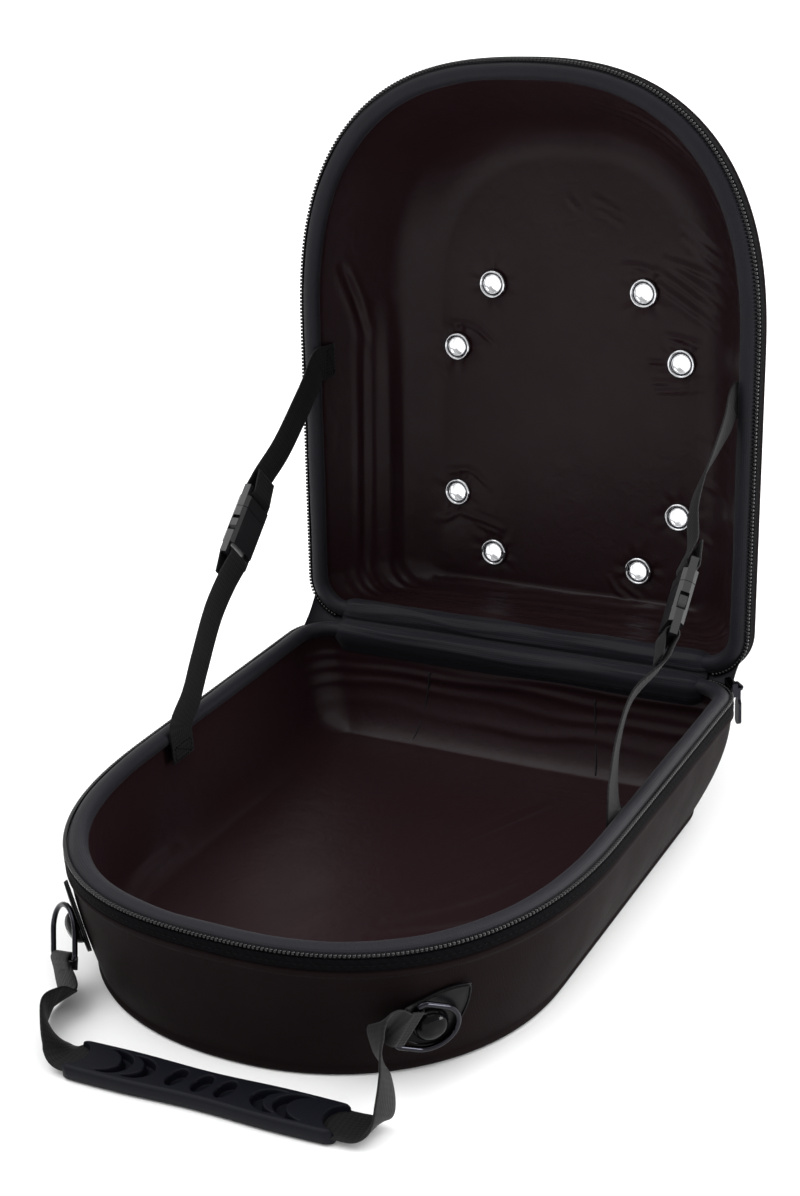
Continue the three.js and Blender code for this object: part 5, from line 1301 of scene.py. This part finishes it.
def evened(rows, start, stop):
    """Rows with the run from start to stop drawn out smooth, and both ends of it kept"""
    rows = rows.copy()
    for _ in range(60):
        neighbours = rows[start - 1:stop - 1] + rows[start + 1:stop + 1]
        rows[start:stop] += 0.25 * (neighbours - 2 * rows[start:stop])
    return rows


def strap_mesh(name, sections, width, thickness, per_section=6, settle=None):
    """Webbing through sections that each give a middle point and the direction of its width"""
    points = np.array([p for p, _ in sections])
    across = unit(np.array([a for _, a in sections], float))
    fine = spline(np.hstack([points, across]), per_section * (len(sections) - 1) + 1)
    points, across = fine[:, :3], unit(fine[:, 3:])
    if settle:
        points = settle(points, across, width, thickness)
        loose = (WRAP_SECTIONS * per_section, len(points) - 2 * per_section)
        across = unit(evened(across, *loose))
        points = settle(evened(points, *loose), across, width, thickness)
    return ribbon_mesh(name, points, across, width, thickness)


def lie_on_table(points, across, width, thickness):
    """Lifts a strap where it would dip below the table, edge or flat"""
    tangent = unit(np.gradient(points, axis=0))
    side = unit(across - tangent * (across * tangent).sum(1, keepdims=True))
    low = np.abs(side[:, 2]) * width / 2 + thickness / 2 + SEAT_GAP
    points[:, 2] = np.maximum(points[:, 2], low)
    return points


def box_seam(name, corner, along, across, up, span, sizes):
    """A sewn box with a cross, lying on a strap's end"""
    a, b = along * span[0], across * span[1]
    ends = [corner, corner + a, corner + a + b, corner + b]
    places, ways = [], []
    for start, stop in ((0, 1), (1, 2), (2, 3), (3, 0), (0, 2)):
        p, w = walk([ends[start], ends[stop]], sizes.stitch_pitch * 0.7)
        places.append(p)
        ways.append(w)
    places, ways = np.vstack(places), np.vstack(ways)
    shape = np.array(THREAD_SHAPE) * [sizes.stitch_pitch * 0.55, sizes.thread_width, sizes.thread_width]
    return scatter_shapes(name, shape, THREAD_FACES, places, ways, np.broadcast_to(up, places.shape))


class CASE_OT_stays(bpy.types.Operator):
    """Builds the two webbing stays and finishes their buckles"""
    bl_idname = "case.stays"
    bl_label = "Stays"

    def execute(self, context):
        sizes = context.scene.case_sizes
        tray, lid = Half(sizes, False), Half(sizes, True)
        webbing = material_for(context, "webbing")
        thread = material_for(context, "thread")
        thickness = sizes.stay_thickness
        sew = LINING_INNER + SEAT_GAP + thickness / 2
        over_roll = SKIN_INSET + sizes.roll_width + SEAT_GAP + thickness / 2
        roll_bottom = sizes.roll_height - BAND_RISE
        for name, run in STAY_RUNS.items():
            side = run["side"]

            def wall_x(half, depth):
                on_wall = half.plan(depth, sew + half.form["side"] * 0.02)["half"]
                return side * min(on_wall, sizes.rim_width / 2 - over_roll)

            depths = [roll_bottom + SEAT_GAP + STAY_SEWN_LENGTH, roll_bottom + 1 * MM, -BAND_RISE]
            lid_end = [lid.place([wall_x(lid, d), STAY_LID_PLACE, d]) for d in depths]
            tray_end = [tray.place([wall_x(tray, d), STAY_TRAY_PLACE, d]) for d in depths]
            start, end = lid_end[2], tray_end[2]
            direction = unit(end - start)
            edge = unit(np.cross([1, 0, 0], direction))

            def section(row):
                along, bow, twist = row
                point = start + (end - start) * along + np.array([-STAY_BOW * bow, 0, 0])
                return point, turned_about(edge, direction, -STAY_TWIST * twist)

            middle, across = section(run["buckle"])
            radius = math.hypot(BUCKLE_BAR / 2, BUCKLE_THICKNESS / 4) + SEAT_GAP + thickness / 2
            gap = 2 * thickness + SEAT_GAP
            lid_lie = lid.place([0, -1, 0]) - lid.place([0, 0, 0])
            tray_lie = tray.place([0, -1, 0]) - tray.place([0, 0, 0])
            plug_bar = middle - direction * (PLUG_LENGTH - BUCKLE_BAR / 2)
            socket_bar = middle + direction * (SOCKET_LENGTH - BUCKLE_BAR / 2)
            parts = (
                ("lid", -direction, plug_bar, lid_end, lid_lie),
                ("tray", direction, socket_bar, tray_end, tray_lie),
            )
            for word, pull, bar, sewn, lie in parts:
                wrapped = wrap_sections(bar, across, pull, radius, STAY_TAIL, gap)
                free = [section(row) for row in run[word]]
                shares = (0.35, 0.9, 0.9)
                landing = [(p, unit(edge * (1 - s) + lie * s)) for p, s in zip(sewn[::-1], shares)]
                sections = wrapped + free + landing
                obj = strap_mesh(f"{name}_{word}_webbing", sections, sizes.webbing_width, thickness)
                node = f"{name}_{'lid' if word == 'lid' else 'base'}_strap"
                finish_piece(obj, webbing, [node])
                down = unit(sewn[0] - sewn[1])
                up = np.array([-side, 0, 0.0])
                corner = sewn[0] - down * 9 * MM - lie * 7.5 * MM + up * (thickness / 2 + 0.1 * MM)
                seam = box_seam(f"{name}_{word}_seam", corner, down, unit(lie), up, BOX_SEAM, sizes)
                finish_piece(seam, thread)
            for part in ("socket", "plug"):
                finish_node(f"{name}_{part}", material_for(context, "plastic"), "Worn edge", 0.5 * MM, 3, 35)
        return {"FINISHED"}


# Carrying handle

ANCHOR_TURN = math.radians(48)
ANCHOR_DEPTH = 41 * MM
ANCHOR_RAISE = 6 * MM
PATCH_RADIUS = 13.6 * MM
PATCH_TIP = 26.5 * MM
PATCH_THICKNESS = 1.6 * MM
DOME_RADIUS = 8.6 * MM
DOME_HEIGHT = 6.5 * MM
RING_RADIUS = 13 * MM
RING_WIRE = 3 * MM
RING_BAR_CORNER = 3 * MM
CARRY_TAIL = 6 * MM
CARRY_BOW = 17 * MM
GRIP_OFFSET = 9 * MM
GRIP_GAP = 13 * MM
GRIP_TURN = math.radians(3)
GRIP_SLOT_DEPTH = 20 * MM
GRIP_MOUTH = 4 * MM

# Each anchor: how far its wall place is raised, the leaf's turn, the ring's turn, tilt and swing in degrees,
# and how far its webbing pulls away from the wall
ANCHORS = [
    {"name": "left", "side": -1, "raise": 1, "tip": 0, "turn": 20, "tilt": 20, "swing": 20, "off": -0.1},
    {"name": "right", "side": 1, "raise": 0.4, "tip": -48, "turn": -119, "tilt": 8, "swing": 0, "off": 0.35},
]

# Loose webbing between ring and grip: share of the way, three offsets as shares of the bow, and the direction
# of the webbing's width. The left one stands upright where it bends, so that its edges stay smooth.
CARRY_ROUTES = {
    "left": [
        (0.20, 0.06, 0.04, -0.22, 0.80, -0.40, 0.45), (0.36, -0.20, -0.13, -0.20, 0.45, -0.15, 0.88),
        (0.51, -0.38, -0.30, -0.10, 0.12, -0.05, 0.99), (0.72, -0.32, -0.24, -0.04, 0.08, -0.45, 0.89)],
    "right": [
        (0.05, -0.20, -0.04, 0.31, -0.55, 0.00, -0.80), (0.15, -0.38, -0.10, 0.55, -0.72, 0.38, -0.55),
        (0.30, -0.15, -0.13, 0.44, -0.60, 0.55, -0.55), (0.50, 0.34, -0.14, 0.27, -0.20, 0.80, -0.60),
        (0.70, 0.62, -0.12, 0.13, 0.00, 0.80, -0.60), (0.85, 0.74, -0.12, 0.08, 0.00, 0.90, -0.35),
        (0.95, 0.45, -0.09, -0.03, 0.00, 1.00, 0.00)],
}


def anchor_frame(tray, side, depth):
    """A frame on the tray's outer skin: x to the right as seen from outside, y up and z outwards"""
    angle = ANCHOR_TURN if side > 0 else math.pi - ANCHOR_TURN

    def at(turn, d):
        p = tray.plan(d, SKIN_INSET)
        c, s = math.cos(turn), math.sin(turn)
        reach = (abs(c) ** p["power"] + abs(s) ** p["power"]) ** (-1 / p["power"])
        return tray.place([p["half"] * c * reach, p["front"] - p["arch"] + p["arch"] * s * reach, d])

    right = unit(at(angle - 0.01, depth) - at(angle + 0.01, depth))
    up = unit(at(angle, depth - 1 * MM) - at(angle, depth + 1 * MM))
    out = unit(np.cross(right, up))
    upright = np.cross(out, right)
    matrix = Matrix(np.column_stack([right, upright, out]).tolist()).to_4x4()
    matrix.translation = Vector(at(angle, depth))
    return matrix


def leaf_outline(count):
    """Outline of the leaf-shaped patch: a round end with a tip"""
    lean = math.acos(PATCH_RADIUS / PATCH_TIP)
    sx, sy = PATCH_RADIUS * math.sin(lean), PATCH_RADIUS * math.cos(lean)
    tip, left, right = np.array([0, PATCH_TIP]), np.array([-sx, sy]), np.array([sx, sy])
    t = np.linspace(0, 1, count, endpoint=False)[:, None]

    def bent_side(start, bend, stop):
        return (1 - t) ** 2 * start + 2 * t * (1 - t) * bend + t * t * stop

    first = bent_side(tip, np.array([-sx * 0.72, PATCH_TIP * 0.72]), left)
    angles = np.linspace(math.pi / 2 + lean, math.pi * 2.5 - lean, count * 3, endpoint=False)
    second = PATCH_RADIUS * np.column_stack([np.cos(angles), np.sin(angles)])
    third = bent_side(right, np.array([sx * 0.72, PATCH_TIP * 0.72]), tip)
    return np.vstack([first, second, third])


def stood_on(matrix, grid):
    """A grid of points in a turned frame, as rows of points in the frame of the case"""
    return grid.reshape(-1, 3) @ np.array(matrix.to_3x3()).T + np.array(matrix.translation)


# Section of a leaf from its edge to its middle: size as a share, and height as a share of its thickness
LEAF_SECTION = [(1.0, 0.0), (1.0, 0.55), (0.985, 0.9), (0.95, 1.0), (0.86, 0.92), (0.80, 1.05), (0.6, 1.15),
                (0.3, 1.2), (0.0, 1.2)]


def patch_piece(name, matrix):
    """A stuffed leather leaf with a turned edge"""
    outline = leaf_outline(10)
    grid = np.array([
        np.column_stack([outline * scale, np.full(len(outline), PATCH_THICKNESS * height)])
        for scale, height in LEAF_SECTION])
    grid[..., 1] += (1 - np.array(LEAF_SECTION)[:, :1]) * PATCH_TIP * 0.12
    faces = [list(f) for f in grid_faces(*grid.shape[:2])] + [list(range(len(outline)))]
    return link_mesh(name, stood_on(matrix, grid), faces)


def dome_piece(name, matrix):
    """A cap drawn into a dome, slightly flattened and dented by the ring that rubs on it"""
    steps = 40
    rows = [(DOME_RADIUS, 0.0)]
    for a in np.linspace(0.15, math.pi / 2, 12):
        rows.append((DOME_RADIUS * math.cos(a) ** 0.85, DOME_HEIGHT * math.sin(a)))
    turn = np.arange(steps) / steps * 2 * math.pi
    grid = np.array([
        np.column_stack([radius * np.cos(turn), radius * np.sin(turn), np.full(steps, height)])
        for radius, height in rows])
    dent = ((grid[..., 0] - 3 * MM) / (3 * MM)) ** 2 + ((grid[..., 1] + 2 * MM) / (5 * MM)) ** 2
    grid[..., 2] *= 1 - 0.10 * np.exp(-dent)
    faces = [list(f) for f in grid_faces(*grid.shape[:2])] + [list(range(steps))]
    return link_mesh(name, stood_on(matrix, grid), faces)


# Where the ring's straight bar runs, clear of the cap and the turn of webbing round it
RING_BAR_Y = -(DOME_RADIUS + 2 * SEAT_GAP + 1.4 * MM + RING_WIRE / 2 + 0.6 * MM)

# How high above the wall the cap sits
CAP_SEAT = SEAT_GAP + PATCH_THICKNESS + SEAT_GAP


def ring_line():
    """Middle line of the D-shaped ring, its straight bar at -y"""
    points = [(RING_RADIUS * math.cos(a), RING_RADIUS * math.sin(a), 0) for a in np.linspace(0, math.pi, 33)]
    for side in (-1, 1):
        for i in range(9):
            turn = (i / 8 if side < 0 else 1 - i / 8) * math.pi / 2
            x = side * (RING_RADIUS - RING_BAR_CORNER * (1 - math.cos(turn)))
            points.append((x, RING_BAR_Y + RING_BAR_CORNER * (1 - math.sin(turn)), 0))
    return points


def on_grip(sizes, x, y, z):
    """A point of the grip's own axes in the frame"""
    front = Half(sizes, False).hinge[1] - sizes.rim_length
    centre = Vector((GRIP_OFFSET, front - GRIP_GAP - sizes.grip_width / 2, sizes.grip_thickness / 2))
    return np.array(centre + Matrix.Rotation(GRIP_TURN, 3, "Z") @ Vector((x, y, z)))


class CASE_OT_anchors(bpy.types.Operator):
    """Builds the patches, caps and rings on the tray's front, and the webbing that hangs from them"""
    bl_idname = "case.anchors"
    bl_label = "Handle anchors and strap"

    def execute(self, context):
        tray = Half(context.scene.case_sizes, False)
        for anchor in ANCHORS:
            wall = anchor_frame(tray, anchor["side"], ANCHOR_DEPTH - anchor["raise"] * ANCHOR_RAISE)
            self.leaf_and_cap(context, anchor, wall)
            ring_matrix = self.hung_ring(context, anchor, wall)
            self.carrying_webbing(context, anchor, wall, ring_matrix)
        return {"FINISHED"}

    def leaf_and_cap(self, context, anchor, wall):
        """The leaf on the wall, the piping round it and the domed cap on it"""
        name = anchor["name"]
        leaf_turn = Matrix.Rotation(math.radians(anchor["tip"]), 4, "Z")
        patch_matrix = wall @ Matrix.Translation((0, 0, SEAT_GAP)) @ leaf_turn
        patch = patch_piece(f"{name}_leaf", patch_matrix)
        finish_piece(patch, material_for(context, "leather"), [f"{name}_patch"])
        rim = [tuple(patch_matrix @ Vector((x, y, PATCH_THICKNESS))) for x, y in leaf_outline(16) * 0.965]
        piping = tube_mesh(f"{name}_leaf_edge", rim, 0.55 * MM, 8, closed=True)
        finish_piece(piping, material_for(context, "cap"))
        dome = dome_piece(f"{name}_cap", wall @ Matrix.Translation((0, 0, CAP_SEAT)))
        finish_piece(dome, material_for(context, "cap"), [f"{name}_dome"])

    def hung_ring(self, context, anchor, wall):
        """The D-shaped ring that lies round the cap, and its frame"""
        hang = Matrix.Rotation(math.radians(anchor["turn"]), 4, "Z")
        hang = hang @ Matrix.Rotation(math.radians(anchor["swing"]), 4, "Y")
        hang = hang @ Matrix.Rotation(-math.radians(anchor["tilt"]), 4, "X")
        lowest = min((hang @ Vector(p)).z for p in ring_line())
        matrix = wall @ Matrix.Translation((0, 0, CAP_SEAT + RING_WIRE / 2 - lowest)) @ hang
        line = [tuple(matrix @ Vector(p)) for p in ring_line()]
        ring = tube_mesh(f"{anchor['name']}_d_ring", line, RING_WIRE * 0.45, 14, closed=True)
        finish_piece(ring, material_for(context, "dark_metal"), [f"{anchor['name']}_ring"])
        return matrix

    def carrying_webbing(self, context, anchor, wall, ring_matrix):
        """The webbing from its turn round the ring's bar to its seat in the grip"""
        sizes = context.scene.case_sizes
        name, side = anchor["name"], anchor["side"]
        thickness = sizes.carry_thickness
        turned = ring_matrix.to_3x3()
        bar = np.array(ring_matrix @ Vector((0, RING_BAR_Y, 0)))
        along = np.array(turned @ Vector((1, 0, 0)))
        off_wall = np.array(wall.to_3x3() @ Vector((0, 0, 1)))
        pull = unit(np.array(turned @ Vector((0, -1, 0))) + off_wall * anchor["off"])
        radius = RING_WIRE / 2 + SEAT_GAP + thickness / 2
        wrapped = wrap_sections(bar, along, pull, radius, CARRY_TAIL, 2 * thickness + SEAT_GAP)
        leave = wrapped[-1][0]
        half = sizes.grip_length / 2
        mouth, entry, inner = (
            on_grip(sizes, side * x, 0, 0)
            for x in (half + GRIP_MOUTH, half, half - GRIP_SLOT_DEPTH + 1 * MM))
        grip_across = on_grip(sizes, 0, side, 0) - on_grip(sizes, 0, 0, 0)
        free = []
        for row in CARRY_ROUTES[name]:
            point = leave + (mouth - leave) * row[0] + np.array(row[1:4]) * CARRY_BOW
            free.append((point, unit(np.array(row[4:7]))))
        sections = wrapped + free + [(point, grip_across) for point in (mouth, entry, inner)]
        piece_name = f"{name}_carry_webbing"
        strap = strap_mesh(piece_name, sections, sizes.webbing_width, thickness, 8, lie_on_table)
        finish_piece(strap, material_for(context, "webbing"), [f"carry_strap_{name}"])


# Grip

GRIP_WAIST = 1.2 * MM
GRIP_CORNER = 4.6 * MM
GRIP_SCOOP = 8.5 * MM
GRIP_RECESS = 4.6 * MM
GRIP_SLOT_HEIGHT = 2 * MM
GRIP_STEPS = (440, 84)

# Recesses in the top of the grip: place along it as a share of its half length, half length and half width
# as shares of its width, lean in degrees, and how far a second oval bites it into a crescent
GRIP_RECESSES = [
    (-0.70, 0.51, 0.36, 0, 0.25), (-0.51, 0.45, 0.33, 0, 0.24), (-0.19, 0.165, 0.27, -14, 0),
    (0.0, 0.165, 0.27, -14, 0), (0.17, 0.165, 0.27, -14, 0), (0.51, 0.45, 0.33, 0, -0.25),
    (0.69, 0.51, 0.36, 0, -0.27)]


def rounded_step(value, soft):
    """One below zero and nothing above, with a rounded edge of the given softness"""
    return eased(np.clip(0.5 - value / (2 * soft), 0, 1))


def oval_distance(x, y, centre, reach, lean=0.0):
    """Rough distance outside a leaning oval, below zero inside it"""
    c, s = math.cos(lean), math.sin(lean)
    along, across = (x - centre) * c + y * s, y * c - (x - centre) * s
    return (np.hypot(along / reach[0], across / reach[1]) - 1) * min(reach)


def grip_surfaces(sizes):
    """Top and bottom of the grip: two grids of x, y and height in its own axes"""
    half, wide, thick = sizes.grip_length / 2, sizes.grip_width / 2, sizes.grip_thickness
    columns, rows = GRIP_STEPS
    # Columns stand closer together towards the ends, where the corners turn
    even = np.linspace(-1, 1, columns)
    along = even + 0.12 * np.sin(even * math.pi) / math.pi
    x, v = np.meshgrid(along * half, np.linspace(-1, 1, rows))
    flank = np.clip(np.abs(x) / (0.6 * half), 0, 1)
    end_flank = np.clip((np.abs(x) / half - 0.6) / 0.4, 0, 1)
    side = wide - GRIP_WAIST * (0.5 + 0.5 * np.cos(flank * math.pi)) - GRIP_WAIST / 3 * end_flank**2
    into_corner = np.clip((np.abs(x) - half + GRIP_CORNER) / GRIP_CORNER, 0, 1)
    edge = side - GRIP_CORNER * (1 - np.sqrt(1 - into_corner**2))
    y = v * edge
    inside = np.minimum(edge - np.abs(y), (half - np.abs(x)) + 0.001 * MM)
    rounding = 1.5 * MM * (1 - np.clip(inside / (2.3 * MM), 0, 1)) ** 2.2
    crown = thick / 2 - rounding - 0.35 * MM * v**2
    pressed = np.zeros_like(x)
    for share, long, across, lean, bite in GRIP_RECESSES:
        reach = (long * sizes.grip_width, across * sizes.grip_width)
        oval = oval_distance(x, y, share * half, reach, math.radians(lean))
        if bite:
            beside = share * half - bite * sizes.grip_width
            bitten = oval_distance(x, y, beside, (reach[0], reach[1] * 0.98))
            oval = np.maximum(oval, -bitten)
        pressed = np.maximum(pressed, rounded_step(oval + 0.1 * MM, 0.45 * MM))
    scoops = np.minimum(*(oval_distance(x, y, end, (GRIP_SCOOP, 0.75 * wide)) for end in (-half, half)))
    scooped = rounded_step(scoops, 0.4 * MM)
    top = crown - GRIP_RECESS * pressed
    top = top + (-GRIP_SLOT_HEIGHT / 2 - top) * scooped
    low = -thick / 2 + 1.2 * MM * (1 - np.clip(inside / (2.0 * MM), 0, 1)) ** 2
    low = np.minimum(low, top - 0.2 * MM)
    return np.stack([x, y, top], -1), np.stack([x, y, low], -1)


class CASE_OT_grip(bpy.types.Operator):
    """Builds the moulded grip with its recesses and the scoops that bare the webbing at its ends"""
    bl_idname = "case.grip"
    bl_label = "Grip"

    def execute(self, context):
        sizes = context.scene.case_sizes
        points = np.concatenate([surface.reshape(-1, 3) for surface in grip_surfaces(sizes)])
        columns, rows = GRIP_STEPS
        count = rows * columns
        faces = [list(f) for f in grid_faces(rows, columns, wrap_columns=False)]
        faces += [[i + count for i in f[::-1]] for f in faces]
        border = list(range(columns)) + [r * columns + columns - 1 for r in range(1, rows)]
        border += [(rows - 1) * columns + c for c in range(columns - 2, -1, -1)]
        border += [r * columns for r in range(rows - 2, 0, -1)]
        faces += [[a, b, b + count, a + count] for a, b in zip(border, border[1:] + border[:1])]
        origin = on_grip(sizes, 0, 0, 0)
        axes = np.array([on_grip(sizes, *axis) - origin for axis in np.eye(3)])
        obj = link_mesh("grip", points @ axes + origin, faces)
        finish_piece(obj, material_for(context, "rubber"), ["carry_grip"])
        return {"FINISHED"}


# Slider and pull

class CASE_OT_slider(bpy.types.Operator):
    """Finishes the zip slider and its pull"""
    bl_idname = "case.slider"
    bl_label = "Zip slider and pull"

    def execute(self, context):
        for name in ("zip_slider", "zip_pull"):
            finish_node(name, material_for(context, "dark_metal"), "Cast edge", 0.25 * MM, 2, 30)
        return {"FINISHED"}


# Stage

# Fitted to both rims: angles in radians, distances in widths of the case and focal length in pixels
CAMERA_PLACE = {"azimuth": 0.51480, "elevation": 0.39443, "distance": 4.03803, "focal": 1942.8435,
                "right": -0.234442, "up": 0.119783, "roll": -0.0673117}

# Each sun: name, the side it shines from, strength, and spread in degrees
SUNS = [
    ("key_sun", (-0.7, -0.3, 1.3), 1.4, 50),
    ("side_sun", (1.0, 0.25, 0.06), 3.2, 25),
    ("top_sun", (0.25, -0.1, 1.5), 1.0, 70),
    ("back_sun", (0.55, 1.0, 0.8), 2.4, 45),
]


def soft_sun(name, towards, strength, spread):
    """An even light from far off, as wide as a big softbox, so that the whole floor stays pale"""
    data = bpy.data.lights.new(name, "SUN")
    data.energy = strength
    data.angle = math.radians(spread)
    light = bpy.data.objects.new(name, data)
    light.location = towards
    light.rotation_mode = "QUATERNION"
    light.rotation_quaternion = Vector(towards).to_track_quat("Z", "Y")
    bpy.context.scene.collection.objects.link(light)


class CASE_OT_stage(bpy.types.Operator):
    """Sets the pale floor, the studio lights and the camera at the photograph's angle"""
    bl_idname = "case.stage"
    bl_label = "Floor, lights and camera"

    def execute(self, context):
        scene = context.scene
        sizes = scene.case_sizes
        c = CAMERA_PLACE
        round_sin, round_cos = math.sin(c["azimuth"]), math.cos(c["azimuth"])
        lift_sin, lift_cos = math.sin(c["elevation"]), math.cos(c["elevation"])
        back = Vector((round_sin * lift_cos, -round_cos * lift_cos, lift_sin))
        right = Vector((round_cos, round_sin, 0))
        up = back.cross(right)
        away = right * c["right"] + up * c["up"] + back * c["distance"]
        place = away * sizes.rim_width + Vector(Half(sizes, False).hinge)
        roll_sin, roll_cos = math.sin(c["roll"]), math.cos(c["roll"])
        level, rise = right * roll_cos + up * roll_sin, up * roll_cos - right * roll_sin
        camera = bpy.data.objects.new("camera", bpy.data.cameras.new("camera"))
        turn = Matrix((level, rise, back)).transposed().to_4x4()
        camera.matrix_world = Matrix.Translation(place) @ turn
        camera.data.sensor_width = SENSOR
        camera.data.lens = c["focal"] / PHOTO_HEIGHT * SENSOR
        scene.collection.objects.link(camera)
        scene.camera = camera

        bpy.ops.mesh.primitive_plane_add(size=60, location=(0, 0, -0.0002))
        floor = context.object
        floor.name = "floor"
        paper, _, shader = new_material("matt_white_paper")
        shader.inputs["Base Color"].default_value = (0.93, 0.93, 0.93, 1)
        shader.inputs["Roughness"].default_value = 0.9
        floor.data.materials.append(paper)

        world = scene.world or bpy.data.worlds.new("studio")
        scene.world = world
        world.use_nodes = True
        background = world.node_tree.nodes["Background"]
        background.inputs["Color"].default_value = (1, 1, 1, 1)
        background.inputs["Strength"].default_value = 0.7
        for sun in SUNS:
            soft_sun(*sun)
        scene.view_settings.view_transform = "Standard"
        scene.view_settings.look = "None"
        return {"FINISHED"}


class CASE_PT_panel(bpy.types.Panel):
    """Sizes, colours and pieces of the carrier case"""
    bl_label = "Carrier case"
    bl_idname = "CASE_PT_panel"
    bl_space_type = "VIEW_3D"
    bl_region_type = "UI"
    bl_category = "Case"

    def draw(self, context):
        layout = self.layout
        for group in (context.scene.case_sizes, context.scene.case_colours):
            box = layout.box()
            for key in group.__annotations__:
                box.prop(group, key)
        for operator in OPERATORS:
            layout.operator(operator.bl_idname)


OPERATORS = (
    CASE_OT_stage, CASE_OT_shells, CASE_OT_linings, CASE_OT_rims, CASE_OT_hinge, CASE_OT_eyelets,
    CASE_OT_stays,
    CASE_OT_anchors, CASE_OT_grip, CASE_OT_slider,
)


def register():
    for group in (CaseSizes, CaseColours, *OPERATORS, CASE_PT_panel):
        bpy.utils.register_class(group)
    bpy.types.Scene.case_sizes = PointerProperty(type=CaseSizes)
    bpy.types.Scene.case_colours = PointerProperty(type=CaseColours)


def unregister():
    del bpy.types.Scene.case_sizes
    del bpy.types.Scene.case_colours
    for group in reversed((CaseSizes, CaseColours, *OPERATORS, CASE_PT_panel)):
        bpy.utils.unregister_class(group)


def main():
    register()
    bpy.ops.case.stage()
    bpy.ops.case.shells()
    bpy.ops.case.linings()
    bpy.ops.case.rims()
    bpy.ops.case.hinge()
    bpy.ops.case.eyelets()
    bpy.ops.case.stays()
    bpy.ops.case.anchors()
    bpy.ops.case.grip()
    bpy.ops.case.slider()


if __name__ == "__main__":
    main()
